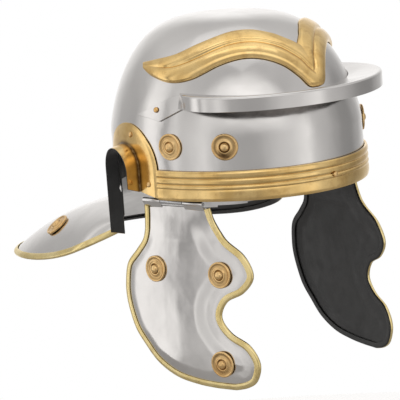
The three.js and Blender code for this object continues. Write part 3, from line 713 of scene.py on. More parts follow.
def bowl_surface():
    front = np.linspace(-GUARD_START_TURN, GUARD_START_TURN, FRONT_COLUMNS + 1)
    back = back_turns(BACK_COLUMNS)[1:]
    turns = np.concatenate([front, back])
    heights = np.concatenate([crown_heights(), np.linspace(WALL_HEIGHT, 0, WALL_ROWS + 1)[1:]])
    turn, height = np.meshgrid(turns, heights)
    y = -HALF_LENGTH * bowl_share(height) * np.cos(turn) + set_back(height)
    cell = max(WALL_HEIGHT / WALL_ROWS, 2 * GUARD_START_TURN * HALF_LENGTH / FRONT_COLUMNS)
    in_front = np.abs(turn) < GUARD_START_TURN - 1e-9
    near = in_front & (height < WALL_HEIGHT - 1e-9) & (y > EAR_ARCH_Y - EAR_CUT_RADIUS - EAR_RIM_RUN - cell)
    line = ear_cut_line()
    for i, j in zip(*np.nonzero(near)):
        gap = np.hypot(line[:, 0] - y[i, j], line[:, 1] - height[i, j])
        k = int(np.argmin(gap))
        if gap[k] < cell * 0.52:
            y[i, j], height[i, j] = line[k]
            side = 1 if turn[i, j] > 0 else -1
            turn[i, j] = side * math.acos(-(y[i, j] - float(set_back(height[i, j]))) / HALF_LENGTH)
    cut = in_front & (height < ear_cut_top(y) - 2e-5)
    wall = bowl_point(turn, height)
    turns_below = np.concatenate([np.full(FRONT_COLUMNS, GUARD_START_TURN), back_turns(BACK_COLUMNS)])
    guard = guard_sections(turns_below, np.linspace(0, 1, GUARD_ROWS + 1)[1:], FOLD_ROWS)
    rim_row = bowl_point(turns_below, 0)
    nape = [mix(rim_row, guard[0], k / NAPE_ROWS) for k in range(1, NAPE_ROWS)]
    below = np.concatenate([np.array(nape), guard])
    grid = np.concatenate([wall, below])
    gone = np.zeros(grid.shape[:2], bool)
    gone[:len(heights)] = cut
    gone[len(heights):, :FRONT_COLUMNS] = True

    def in_cut(middle):
        return middle[2] > 1e-6 and middle[2] < ear_cut_top(middle[1]) - 1e-5 and middle[1] < GUARD_START_Y

    surface = shell(grid, STEEL_SHEET, corners=gone, drop=in_cut)
    retag(surface, EDGE, INNER, lambda middle: EAR_ARCH_Y < middle[1] < GUARD_START_Y + STEEL_SHEET)
    retag(surface, INNER, BARE, is_bare)
    return surface


add_piece("bowl", bowl_surface(), ["steel", "black", "steel", "bare"])


# Folded brass edging

def edging_section():
    """A strip folded over a plate's edge: it lies on the plate, goes round and back under."""
    over = EDGING_GAP + BRASS_SHEET / 2
    middle = -STEEL_SHEET / 2
    radius = over - middle
    centre = EDGING_REACH - BRASS_SHEET / 2 - radius
    path = []
    for share in np.linspace(0, 1, 7)[:-1]:
        arch = 0.00018 * math.sin(math.pi * share)
        path.append([mix(-EDGING_WIDTH + BRASS_SHEET / 2, centre, share), over + arch])
    for angle in np.linspace(90, -90, 13) * math.pi / 180:
        path.append([centre + radius * math.cos(angle), middle + radius * math.sin(angle)])
    for share in np.linspace(0, 1, 5)[1:]:
        path.append([mix(centre, -EDGING_UNDER, share), middle - radius])
    outline, tags = ribbon(path, BRASS_SHEET)
    under = middle - radius * 0.35
    tags = [INNER if point[1] < under else OUTER for point in outline]
    return outline, tags


def frames_along(place, up):
    along = unit(np.gradient(place, axis=0))
    up = unit(up - along * (up * along).sum(-1, keepdims=True))
    return unit(np.cross(along, up)), up


def guard_edging():
    turns = back_turns(320)
    sections = guard_sections(turns, [0.985, 1.0], 2)
    place, slope = sections[-1], unit(sections[-1] - sections[-2])
    inside = place[:, 1] > GUARD_START_Y + FIT_GAP
    place, slope = place[inside], slope[inside]
    along = unit(np.gradient(place, axis=0))
    up = unit(np.cross(along, slope))
    up *= np.sign(up[:, 2:])
    outward, up = frames_along(place, up)
    if (outward * slope).sum() < 0:
        outward = -outward
    outline, tags = edging_section()
    return sweep(place, outward, up, outline, tags)


add_piece("neck_guard_edging", guard_edging(), ["edging", "black", "edging"])


# Brow band: three ribs over a broad plain strip
BAND_RIBS = [(0.873, 0.118), (0.645, 0.105), (0.452, 0.068)]
BAND_STRIP_TOP = 0.395
BAND_BED = 0.5


def band_proud(height):
    """How far the band's face stands out at a share of its height, as a share of its most."""
    humps = [(middle, half) for middle, half in BAND_RIBS] + [(BAND_STRIP_TOP / 2, BAND_STRIP_TOP / 2)]
    rise = 0.0
    for middle, half in humps:
        rise = max(rise, max(0.0, 1 - abs((height - middle) / half) ** 2) ** 0.8)
    return BAND_BED + (1 - BAND_BED) * rise


def brow_band():
    inner = 2 * FIT_GAP
    heights = np.linspace(1, 0, 150)
    face = [[inner + BRASS_SHEET + float(band_proud(h)) * BAND_PROUD, h * BAND_HEIGHT] for h in heights]
    section = [[inner, BAND_HEIGHT]] + face + [[inner, 0]]
    end = wall_turn(EAR_PLATE_Y - EAR_PLATE_RADIUS - 2 * FIT_GAP)
    turns = np.linspace(-end, end, 260)
    place = bowl_point(turns, FIT_GAP)
    outward = bowl_point(turns, FIT_GAP, 1.0) - place
    up = np.tile([0.0, 0.0, 1.0], (len(turns), 1))
    return sweep(place, outward, up, section, [OUTER] * len(section))


add_piece("brow_band", brow_band(), ["sheet", "sheet", "sheet"])


# Brow guard: a flat shelf with a rim bent down, and a pointed tab at each temple

def shelf_edges(share):
    side = np.where(share < 0, -1, 1)
    near = np.abs(share)
    turn = wall_turn(BROW_GUARD_TIP_Y) * near
    bowl = bowl_point(turn, BROW_GUARD_HEIGHT - STEEL_SHEET)
    out = unit(stack(bowl[:, 0] / HALF_WIDTH ** 2, bowl[:, 1] / HALF_LENGTH ** 2, 0))
    tip = 1 - near ** SHELF_TIP_POWER
    reach = BROW_GUARD_REACH * tip * (1 - SHELF_NARROWING * near ** 2) + SHELF_LIFT
    foot_height = BROW_GUARD_HEIGHT - BROW_GUARD_RIM
    spread = ((bowl_point(turn, foot_height) - bowl) * out).sum(-1)
    foot = reach + np.maximum(0, spread - BROW_GUARD_REACH * tip / 2)
    return side, bowl, out, reach, foot


def brow_guard_shelf():
    share = np.linspace(-1, 1, 321)
    side, bowl, out, reach, foot = shelf_edges(share)
    bend = np.minimum(BROW_GUARD_BEND, (reach - FIT_GAP) * 0.45)
    rows = []

    def add_row(distance, height):
        point = bowl + out * distance[:, None]
        rows.append(stack(point[:, 0] * side, point[:, 1], height))

    near = np.abs(share)
    dip = BROW_GUARD_DIP * (1 - near ** 2)
    low = bowl_point(wall_turn(BROW_GUARD_TIP_Y) * near, BROW_GUARD_HEIGHT - STEEL_SHEET - dip)
    start = FIT_GAP + ((low - bowl) * out).sum(-1)
    for step in np.linspace(0, 1, 14):
        add_row(mix(start, reach - bend, step), BROW_GUARD_HEIGHT - dip * (1 - step))
    for angle in np.linspace(0, math.pi / 2, 8)[1:]:
        add_row(reach - bend + bend * math.sin(angle), BROW_GUARD_HEIGHT - bend * (1 - math.cos(angle)))
    for step in np.linspace(0, 1, 9)[1:]:
        height = mix(BROW_GUARD_HEIGHT - bend, BROW_GUARD_HEIGHT - BROW_GUARD_RIM, step)
        add_row(mix(reach, foot, step), height)
    return shell(np.array(rows), STEEL_SHEET)


TAB_TABLE = {
    "along": [0, 0.265, 0.46, 0.73, 1],
    "top": [0, 0.1, 0.3, 0.58, 0.78],
    "bottom": [0.5, 0.8, 1, 0.9, 0.84],
}


def tab_place(along, down):
    y = BROW_GUARD_TIP_Y - TAB_OVERLAP + along * TAB_LENGTH
    height = BROW_GUARD_HEIGHT - STEEL_SHEET - down * TAB_DROP
    return np.arccos(-y / (HALF_LENGTH * bowl_share(height))), height


def brow_guard_tab():
    along = np.unique(np.concatenate([np.linspace(0, 1, 40), TAB_TABLE["along"]]))
    top = np.interp(along, TAB_TABLE["along"], TAB_TABLE["top"])
    bottom = np.interp(along, TAB_TABLE["along"], TAB_TABLE["bottom"])
    rows = []
    for across in np.linspace(0, 1, 14):
        turn, height = tab_place(along, mix(top, bottom, across))
        rows.append(bowl_point(turn, height, TAB_LIFT))
    return shell(np.array(rows), STEEL_SHEET)


brow_guard_tab_right = brow_guard_tab()
brow_guard = joined([brow_guard_shelf(), brow_guard_tab_right, brow_guard_tab_right.mirrored()])
add_piece("brow_guard", brow_guard, ["steel", "steel", "steel"])


# Eyebrows: edges on the crown from the tail to the middle of the front, as turns from the
# front in degrees and shares of the height between brow guard and crown
BROW_TABLE = {
    "up_turn": [101.6, 92, 79, 64.5, 46, 29, 15.4, 8, 3, 0],
    "up_rise": [0.387, 0.447, 0.53, 0.68, 0.80, 0.815, 0.748, 0.67, 0.605, 0.555],
    "low_turn": [98, 91, 79, 67, 52, 39, 27, 16.5, 9.5, 5, 0],
    "low_rise": [0.275, 0.2, 0.135, 0.185, 0.37, 0.448, 0.42, 0.3, 0.12, -0.045, -0.075],
}
# Rise across the eyebrow at its tail and along its arch, where a groove parts two lobes
BROW_ACROSS = [0, 0.04, 0.1, 0.2, 0.31, 0.4, 0.455, 0.51, 0.6, 0.72, 0.84, 0.92, 0.97, 1]
BROW_TAIL = [0, 0.42, 0.62, 0.74, 0.8, 0.8, 0.74, 0.8, 0.84, 0.86, 0.78, 0.6, 0.35, 0]
BROW_ARCH = [0, 0.5, 0.74, 0.92, 1.0, 0.88, 0.52, 0.76, 0.98, 1.0, 0.9, 0.68, 0.38, 0]
BROW_TAIL_SHARE = 0.25
BROW_GROOVE = 0.455
BROW_GROOVE_FOOT = 0.66
BROW_MERGE_SHARE = 0.86


def brow_rise(across, share):
    """How high the eyebrow stands, as a share of its most: across it from its upper edge, and
    along it from its tail to the middle of the front, where the upper lobes of the two merge
    and their grooves run down to one point."""
    merge = smooth_step((share - BROW_MERGE_SHARE) / (1 - BROW_MERGE_SHARE))
    groove = mix(BROW_GROOVE, BROW_GROOVE_FOOT, merge)
    lower = BROW_GROOVE + (across - groove) / (1 - groove) * (1 - BROW_GROOVE)
    moved = np.where(across < groove, across / groove * BROW_GROOVE, lower)
    place = np.interp(moved, BROW_ACROSS, np.linspace(0, 1, len(BROW_ACROSS)))
    return mix(spline(BROW_TAIL, place), spline(BROW_ARCH, place), smooth_step(share / BROW_TAIL_SHARE))


def eyebrows():
    floor = BROW_GUARD_HEIGHT + FIT_GAP
    position = np.linspace(-1, 1, 321)
    across = np.linspace(0, 1, 49)
    share = 1 - np.abs(position)
    columns = {name: spline(values, share) for name, values in BROW_TABLE.items()}
    turn = mix(columns["up_turn"][None], columns["low_turn"][None], across[:, None]) * math.pi / 180
    rise = mix(columns["up_rise"][None], columns["low_rise"][None], across[:, None])
    height = mix(floor, BOWL_HEIGHT, rise)
    base = 2 * FIT_GAP
    relief = brow_rise(across[:, None] + 0 * share[None], share[None] + 0 * across[:, None])
    side = np.where(position < 0, -1, 1)[None]

    def grid(lift):
        points = bowl_point(turn, height, lift)
        return stack(points[..., 0] * side, points[..., 1], points[..., 2])

    outer = grid(base + BRASS_SHEET + np.maximum(0, relief) * BROW_HEIGHT)
    return shell(outer, BRASS_SHEET, inner_grid=grid(base + 0 * relief))


add_piece("eyebrows", eyebrows(), ["sheet", "sheet", "sheet"])


# Ear guard: a plate round the ear arch, folded outwards into a flange whose rear leg runs
# down past the neck guard's corner

def ear_path():
    """Places of the fold (fy, fz) and of the plate's edge (py, pz) round the arch, how far the
    flange's corner is cut back and where the flange starts, and whether there is a plate."""
    start = EAR_FOLD + EAR_PLATE_ROUND
    front = (EAR_ARCH_Y - EAR_ARCH_RADIUS, EAR_PLATE_Y - EAR_PLATE_RADIUS)
    rear = (EAR_ARCH_Y + EAR_ARCH_RADIUS, EAR_PLATE_Y + EAR_PLATE_RADIUS)
    foot = -GUARD_CORNER_DROP - EAR_LEG_BELOW
    rows = []
    for s in np.linspace(0, 1, 14)[:-1]:
        cut = EAR_FLANGE_CUT * (1 - s)
        rows.append([front[0], mix(EAR_LEG_FOOT, EAR_ARCH_Z, s), front[1], mix(EAR_PLATE_FOOT, EAR_PLATE_Z, s), cut, start, 1])
    for angle in np.linspace(math.pi, 0, 73):
        rows.append([
            EAR_ARCH_Y + EAR_ARCH_RADIUS * math.cos(angle), EAR_ARCH_Z + EAR_ARCH_RADIUS * math.sin(angle),
            EAR_PLATE_Y + EAR_PLATE_RADIUS * math.cos(angle), EAR_PLATE_Z + EAR_PLATE_RADIUS * math.sin(angle),
            0, start, 1,
        ])
    for s in np.linspace(0, 1, 17)[1:]:
        rows.append([rear[0], mix(EAR_ARCH_Z, EAR_RIM_RISE, s), rear[1], mix(EAR_PLATE_Z, EAR_RIM_RISE, s), 0, start, 1])
    for s in np.linspace(0, 1, 25)[1:]:
        cut = EAR_FLANGE_CUT * max(0.0, s * 2 - 1)
        out = mix(start, -EAR_LEG_IN, min(1.0, s * 8))
        rows.append([rear[0], mix(EAR_RIM_RISE, foot, s), rear[1], EAR_RIM_RISE, cut, out, 0])
    return np.array(rows).T


def ear_guard():
    fy, fz, py, pz, cut, out, plate = ear_path()
    length = np.hypot(py - fy, pz - fz)
    dy, dz = (py - fy) / length, (pz - fz) / length

    def on_wall(away, outward, lowered=0.0):
        y, z = fy + dy * away, fz + dz * away + lowered
        x = -wall_x(y, np.maximum(0, z), EAR_LIFT)
        return stack(x - outward, y, z)

    rows = []
    for s in np.linspace(0, 1, 18):
        away = mix(length, EAR_FOLD, s ** 1.4)
        rows.append(on_wall(away, EAR_PLATE_ROUND * smooth_step((length - away) / EAR_PLATE_ROUND_WIDTH)))
    plate_rows = len(rows)
    for angle in np.linspace(0, math.pi / 2, 7)[1:]:
        out_now = EAR_PLATE_ROUND + EAR_FOLD * (1 - math.cos(angle))
        rows.append(on_wall(EAR_FOLD * (1 - math.sin(angle)), out_now + 0 * fy))
    folded = len(rows)
    for s in np.linspace(0, 1, 12)[1:]:
        rows.append(on_wall(0, mix(out, EAR_FLANGE, s), (cut - EAR_FLANGE_DROOP) * s))
    rows[folded - 1] = on_wall(0, out)
    grid = np.array(rows)
    gone = np.zeros(grid.shape[:2], bool)
    gone[:folded - 1, :] = (plate < 0.5)[None]
    # Painted shade along the fold: a dark band round the crease, kept in the recess marks, that the brass darkens by
    fold_line = grid[(plate_rows + folded) // 2]
    darkening = np.exp(-(np.linalg.norm(grid - fold_line[None], axis=-1) / EAR_FOLD_SHADE_WIDTH) ** 2)
    surface = shell(grid, BRASS_SHEET, corners=gone, mark_grid=darkening)
    retag(surface, EDGE, INNER, lambda middle: middle[0] < -HALF_WIDTH - EAR_FLANGE / 4)
    return surface


add_pair("ear_guard", ear_guard(), ["sheet", "black", "sheet"])


# Cheek guard: directions forward along the hinge, down the plate and out through its face

HINGE_ENDS = [
    np.array([-float(wall_x(y, 0, 0)) + HINGE_INSET, y, -HINGE_DROP]) for y in (HINGE_REAR_Y, HINGE_FRONT_Y)
]
FORWARD = unit(HINGE_ENDS[1] - HINGE_ENDS[0])
LEVEL = unit(np.cross([0, 0, -1], FORWARD))
DOWN = np.array([0, 0, -1]) * math.cos(CHEEK_SPLAY) + LEVEL * math.sin(CHEEK_SPLAY)
FACE = LEVEL * math.cos(CHEEK_SPLAY) + np.array([0, 0, 1]) * math.sin(CHEEK_SPLAY)
HINGE_START = HINGE_ENDS[0] + FORWARD * (HINGE_REAR_Y / -FORWARD[1])


def on_cheek(along, drop, out):
    along, drop, out = np.broadcast_arrays(along, drop, out)
    return HINGE_START + along[..., None] * FORWARD + drop[..., None] * DOWN + out[..., None] * FACE


# Edged outline, rear and front, as shares of the width and drop, from the hinge down
CHEEK_TABLE = {
    "rear": [-0.118, -0.128, -0.148, -0.21, -0.29, -0.314, -0.31, -0.286, -0.248, -0.185, -0.085, 0.055, 0.22, 0.36],
    "rear_drop": [0.03, 0.11, 0.215, 0.287, 0.368, 0.48, 0.56, 0.644, 0.727, 0.8, 0.895, 0.962, 0.991, 1],
    "front": [0.386, 0.408, 0.48, 0.606, 0.662, 0.596, 0.48, 0.432, 0.495, 0.615, 0.672, 0.645, 0.585, 0.5],
    "front_drop": [0.022, 0.095, 0.19, 0.272, 0.376, 0.462, 0.518, 0.61, 0.695, 0.758, 0.85, 0.94, 0.98, 1],
}
PLATE_DROP = CHEEK_DROP - EDGING_REACH
DISH = {"middle_along": 0.14, "half_along": 0.35, "middle_drop": 0.48, "half_drop": 0.51, "neck": 0.16}
# Relief beaten into the plate: it rises from its rear edge, and in two steps from its front
REAR_STEP = {"width": 0.0135}
FRONT_STEP = {"rise": 0.0005, "width": 0.0075}
SWELL_STEP = {"rise": 0.0012, "start": 0.0135, "width": 0.0135}
RELIEF_START = 0.012
RELIEF_RUN = 0.03
CREASE_DROP = 0.031
CREASE_WIDTH = 0.0026
CREASE_DEPTH = 0.0002


def cheek_edges(share):
    rear = np.stack([
        spline(np.array(CHEEK_TABLE["rear"]) * CHEEK_WIDTH + EDGING_REACH, share),
        spline(np.array(CHEEK_TABLE["rear_drop"]) * PLATE_DROP, share)], -1)
    front = np.stack([
        spline(np.array(CHEEK_TABLE["front"]) * CHEEK_WIDTH - EDGING_REACH, share),
        spline(np.array(CHEEK_TABLE["front_drop"]) * PLATE_DROP, share)], -1)
    return rear, front


def cheek_out(along, drop):
    across = (along / CHEEK_WIDTH - DISH["middle_along"]) / DISH["half_along"]
    low = (drop / CHEEK_DROP - DISH["middle_drop"]) / DISH["half_drop"]
    neck = np.clip(drop / CHEEK_DROP / DISH["neck"], 0, 1)
    return -CHEEK_SET_IN - neck * (CHEEK_DISH_ACROSS * across ** 2 + CHEEK_DISH_DOWN * low ** 2)


def edge_distance(places, edge):
    """How far each place lies from a line of points."""
    flat = places.reshape(-1, 2)
    nearest = [np.min(np.hypot(flat[k:k + 2000, None, 0] - edge[None, :, 0],
                               flat[k:k + 2000, None, 1] - edge[None, :, 1]), axis=1)
               for k in range(0, len(flat), 2000)]
    return np.concatenate(nearest).reshape(places.shape[:2])


def cheek_relief(places):
    share = np.linspace(0, 1, 400)
    rear, front = cheek_edges(share)
    bottom = np.linspace(rear[-1], front[-1], 40)
    from_rear = edge_distance(places, np.concatenate([rear, bottom]))
    from_front = edge_distance(places, front)
    drop = places[..., 1]
    below_neck = smooth_step((drop - RELIEF_START) / RELIEF_RUN)
    rise = FRONT_STEP["rise"] * smooth_step(from_front / FRONT_STEP["width"])
    rise = rise + SWELL_STEP["rise"] * smooth_step((from_front - SWELL_STEP["start"]) / SWELL_STEP["width"])
    rise = rise * smooth_step(from_rear / REAR_STEP["width"])
    crease = np.exp(-((drop - CREASE_DROP) / CREASE_WIDTH) ** 2) * CREASE_DEPTH
    from_edge = np.clip(np.minimum(from_rear, from_front) / REAR_STEP["width"], 0, 1)
    return rise * below_neck - crease * from_edge


def cheek_point(places, relief=0.0):
    return on_cheek(places[..., 0], places[..., 1], cheek_out(places[..., 0], places[..., 1]) + relief)


def cheek_normal(places):
    step = 0.0005
    along = cheek_point(places + [step, 0]) - cheek_point(places)
    drop = cheek_point(places + [0, step]) - cheek_point(places)
    normal = unit(np.cross(drop, along))
    return normal * np.sign((normal * FACE).sum(-1, keepdims=True))


def cheek_plate():
    rear, front = cheek_edges(np.linspace(0, 1, 200))
    across = np.linspace(0, 1, 91)
    places = front[:, None] + (rear - front)[:, None] * across[None, :, None]
    return shell(cheek_point(places, cheek_relief(places)), STEEL_SHEET)


HINGE_LENGTH = float(np.linalg.norm(HINGE_ENDS[1] - HINGE_ENDS[0]))
HINGE_REAR = HINGE_REAR_Y / FORWARD[1]
KNUCKLES = [HINGE_REAR + HINGE_LENGTH * share for share in (0, 0.3, 0.67, 1)]
CURL_SHEET = 0.0010
CURL_START = math.radians(50)
CURL_END = math.radians(-262)


def hinge_strip(path, start, end):
    """A strip rolled round the hinge pin, from a path of [drop, out] points."""
    outline, tags = ribbon(path, CURL_SHEET)
    along = np.array([start, start + 0.0002, end - 0.0002, end])
    middle = outline.mean(0)
    shapes = [middle + (outline - middle) * scale for scale in (0.985, 1, 1, 0.985)]
    points = np.concatenate([on_cheek(place, shape[:, 0], shape[:, 1]) for place, shape in zip(along, shapes)])
    size = len(outline)
    faces = []
    for i in range(3):
        for j in range(size):
            a, b = i * size + j, i * size + (j + 1) % size
            faces.append((a, b, b + size, a + size))
    faces += [tuple(range(size))[::-1], tuple(range(3 * size, 4 * size))]
    return Surface(points, faces, [OUTER] * len(faces)).outward()


def curl_path(foot):
    """The curl's path from a foot of [drop, out], up and round the pin."""
    radius = KNUCKLE_RADIUS - CURL_SHEET / 2
    turn = [[radius * math.sin(a), radius * math.cos(a)] for a in np.linspace(CURL_START, CURL_END, 36)]
    lead = [mix(np.array(foot), np.array(turn[0]), s) for s in np.linspace(0, 1, 6)[:-1]]
    return np.array([*lead, *turn])


def cheek_knuckles():
    pieces = []
    for start, end in ((KNUCKLES[0], KNUCKLES[1]), (KNUCKLES[2], KNUCKLES[3])):
        middle = (start + end) / 2
        rear, front = cheek_edges(np.array([0.0]))
        top = max(rear[0, 1], front[0, 1]) + STEEL_SHEET
        foot = [top, float(cheek_out(middle, top)) - STEEL_SHEET / 2]
        pieces.append(hinge_strip(curl_path(foot), start + FIT_GAP, end - FIT_GAP))
    return pieces


def cheek_edging():
    rear, front = cheek_edges(np.linspace(0, 1, 260))
    bottom = np.linspace(rear[-1], front[-1], 24)[1:-1]
    line = np.concatenate([rear, bottom, front[::-1]])
    way = np.concatenate([[0], np.cumsum(np.hypot(*np.diff(line, axis=0).T))])
    even = np.linspace(0, way[-1], 620)
    places = np.stack([np.interp(even, way, line[:, 0]), np.interp(even, way, line[:, 1])], -1)
    for _ in range(3):
        places[1:-1] = (places[:-2] + 2 * places[1:-1] + places[2:]) / 4
    place = cheek_point(places)
    outward, up = frames_along(place, cheek_normal(places))
    centre = cheek_point(np.array([0.12 * CHEEK_WIDTH, 0.5 * CHEEK_DROP]))
    if ((place - centre) * outward).sum() < 0:
        outward = -outward
    outline, tags = edging_section()
    return sweep(place, outward, up, outline, tags)


add_pair("cheek_guard", joined([cheek_plate(), *cheek_knuckles()]), ["steel", "black", "steel"])
add_pair("cheek_edging", cheek_edging(), ["edging", "black", "edging"])


# Hinge leaf and pin

def hinge_leaf():
    start, end = KNUCKLES[1] + FIT_GAP, KNUCKLES[2] - FIT_GAP
    columns = np.linspace(end, start, 30)
    y = on_cheek(columns, 0, 0)[:, 1]
    lift = -STEEL_SHEET - FIT_GAP
    rows = []
    for rise in np.linspace(1, 0.12, 12):
        rows.append(stack(-wall_x(y, 0, lift), y, LEAF_HEIGHT * rise))
    wall = mix(PIN_RADIUS + FIT_GAP, KNUCKLE_RADIUS, 0.4)
    foot = on_cheek(columns, -wall, STEEL_SHEET)
    rows += [mix(rows[-1], foot, s) for s in (0.34, 0.67)] + [foot]
    plate = shell(np.array(rows), STEEL_SHEET)
    radius = KNUCKLE_RADIUS - CURL_SHEET / 2
    path = [[radius * math.sin(a), radius * math.cos(a)] for a in np.linspace(-1.2, -1.2 + 5.9, 40)]
    return joined([plate, hinge_strip(path, start, end)])


def hinge_pin():
    start, end = HINGE_REAR - FIT_GAP, HINGE_REAR + HINGE_LENGTH + FIT_GAP
    place = on_cheek(start, 0, 0)
    length = end - start
    dome = PIN_RADIUS * 0.5
    profile = [[0, 0], [PIN_RADIUS * 0.7, 0], [PIN_RADIUS, dome * 0.6], [PIN_RADIUS, length - dome * 0.6],
               [PIN_RADIUS * 0.7, length], [0, length]]
    return lathe(profile, 24, place, FORWARD)


add_pair("hinge_leaf", hinge_leaf(), ["hinge", "hinge", "hinge"])
add_pair("hinge_pin", hinge_pin(), ["hinge", "hinge", "hinge"])


# Rosettes: a rolled rim, a dished face, a raised ring and a domed rivet with a small teat
ROSETTE_TABLE = {
    "radius": [0, 0.98, 1, 0.99, 0.955, 0.91, 0.865, 0.82, 0.75, 0.66, 0.58, 0.53, 0.49, 0.445, 0.405,
               0.375, 0.35, 0.325, 0.285, 0.23, 0.17, 0.1, 0.05, 0],
    "rise": [0, 0, 0.14, 0.28, 0.38, 0.4, 0.36, 0.27, 0.22, 0.23, 0.27, 0.35, 0.43, 0.45, 0.39,
             0.31, 0.34, 0.52, 0.7, 0.83, 0.91, 0.95, 0.985, 1],
    "recess": [0, 0.2, 0.1, 0, 0, 0, 0.15, 0.5, 0.6, 0.35, 0.2, 0.1, 0, 0, 0.4,
               1, 0.9, 0.45, 0.1, 0, 0, 0.1, 0, 0],
}
ROSETTE_SIDES = 72
ROSETTE_LIMPNESS = 0.00011
BLOT_AGE = 0.8
BLOT_BACK = 0.0015
BLOT_DOWN = 0.008
BLOT_RADIUS = 0.0042
rng = np.random.default_rng(7)


def rosette(place, normal, age):
    """age is how much tarnish lies in the recesses."""
    normal = unit(np.asarray(normal, float))
    profile = [[r * ROSETTE_RADIUS, h * ROSETTE_RISE]
               for r, h in zip(ROSETTE_TABLE["radius"], ROSETTE_TABLE["rise"])]
    marks = np.array(ROSETTE_TABLE["recess"]) * age
    blot = place + unit(np.cross(normal, [0, 0, 1])) * BLOT_BACK - np.array([0, 0, BLOT_DOWN])
    turn = rng.uniform(0, math.tau)
    surface = lathe(profile, ROSETTE_SIDES, place + normal * FIT_GAP, normal, turn, marks)
    waves = rng.uniform(0, math.tau, 3)
    from_axis = surface.points - place
    rise = from_axis @ normal
    radial = from_axis - rise[:, None] * normal
    side = unit(np.cross(normal, [0.31, 0.17, 0.93]))
    angle = np.arctan2(radial @ np.cross(normal, side), radial @ side)
    wobble = sum(np.sin(angle * (k + 1) + waves[k]) / (k + 1) for k in range(3))
    share = np.clip(np.linalg.norm(radial, axis=1) / ROSETTE_RADIUS, 0, 1) * (rise > ROSETTE_RISE * 0.1)
    surface.points = surface.points + normal * (wobble * share ** 2 * ROSETTE_LIMPNESS)[:, None]
    near = np.exp(-(np.linalg.norm(surface.points - blot, axis=1) / BLOT_RADIUS) ** 2)
    surface.marks = np.clip(surface.marks + near * max(0.0, age - BLOT_AGE) / (1 - BLOT_AGE), 0, 1)
    return surface


RIVET_PROFILE = [[0, 0], [1, 0], [1.0, 0.18], [0.97, 0.42], [0.86, 0.68], [0.66, 0.86], [0.42, 0.96], [0.2, 0.99], [0, 1]]


def rivet(place, normal):
    profile = [[r * RIVET_RADIUS, h * RIVET_RISE] for r, h in RIVET_PROFILE]
    normal = unit(np.asarray(normal, float))
    marks = [0.3, 0.6, 0.4, 0.1, 0, 0, 0, 0, 0]
    return lathe(profile, 40, place + normal * FIT_GAP, normal, 0.0, marks)


FLIP = np.array([-1.0, 1.0, 1.0])


def add_fittings(name, make, place, normal, ages=(0.5, 0.5)):
    """A fitting on the wearer's right and its twin on the left."""
    finishes = ["fitting", "fitting", "fitting"]
    for side, flip, age in (("right", 1, ages[0]), ("left", FLIP, ages[1])):
        surface = make(place * flip, normal * flip, age) if make is rosette else make(place * flip, normal * flip)
        add_piece(f"{name}_{side}", surface, finishes, sharp=60)


def on_bowl(turn, height, lift):
    place = bowl_point(turn, height, lift)
    return place, bowl_point(turn, height, lift + 1.0) - place


BOWL_ROSETTES = {"temple": (76.5, (0.6, 0.7)), "brow": (51, (1.0, 0.7))}
for name, (turn, ages) in BOWL_ROSETTES.items():
    place, normal = on_bowl(math.radians(turn), ROSETTE_HEIGHT, 0.0)
    add_fittings(f"rosette_{name}", rosette, place, normal, ages)

CHEEK_ROSETTES = {"rear": (-0.038, 0.371), "front": (0.441, 0.374), "lower": (0.424, 0.858)}
for name, (along, drop) in CHEEK_ROSETTES.items():
    spot = np.array([along * CHEEK_WIDTH, drop * CHEEK_DROP])
    rise = float(cheek_relief(spot[None, None])[0, 0])
    add_fittings(f"rosette_cheek_{name}", rosette, cheek_point(spot, rise), cheek_normal(spot), (0.8, 0.8))

GUARD_ROSETTE = {"round": 0.4, "out": 0.6}


def guard_place(around, out):
    turn = mix(GUARD_START_TURN, math.pi, around)
    return guard_sections(np.array([turn]), [out], 3)[-1, 0]


guard_spot = guard_place(GUARD_ROSETTE["round"], GUARD_ROSETTE["out"])
guard_normal = unit(np.cross(guard_place(GUARD_ROSETTE["round"] + 0.01, GUARD_ROSETTE["out"]) - guard_spot,
                             guard_place(GUARD_ROSETTE["round"], GUARD_ROSETTE["out"] + 0.01) - guard_spot))
guard_normal *= np.sign(guard_normal[2])
add_fittings("rosette_neck_guard", rosette, guard_spot, guard_normal, (0.5, 0.5))

tab_turn, tab_height = tab_place(0.55, 0.6)
add_fittings("rivet_tab", rivet, *on_bowl(tab_turn, tab_height, TAB_LIFT))

EAR_RIVETS = {"top": 103.5, "front": 203, "rear": -7}
EAR_RIVET_RADIUS = mix(EAR_ARCH_RADIUS, EAR_PLATE_RADIUS, 0.55)
for name, angle in EAR_RIVETS.items():
    y = EAR_PLATE_Y + EAR_RIVET_RADIUS * math.cos(math.radians(angle))
    z = EAR_PLATE_Z + EAR_RIVET_RADIUS * math.sin(math.radians(angle))
    turn = math.acos(-y / (HALF_LENGTH * float(bowl_share(z))))
    add_fittings(f"rivet_ear_{name}", rivet, *on_bowl(turn, z, EAR_LIFT))

band_spot = on_bowl(0.0, FIT_GAP + BAND_HEIGHT / 2, 2 * FIT_GAP + BRASS_SHEET + BAND_PROUD)
add_piece("rivet_band", rivet(*band_spot), ["fitting", "fitting", "fitting"], sharp=60)


# Camera: a long lens from the wearer's right, a little above
CAMERA_TURN = math.radians(42)
CAMERA_RISE = math.radians(10.05)
CAMERA_ROLL = math.radians(-4.2)
CAMERA_DISTANCE = 2.3905
CAMERA_LENS = 250
AIM_RIGHT = -0.0344
AIM_UP = -0.01896


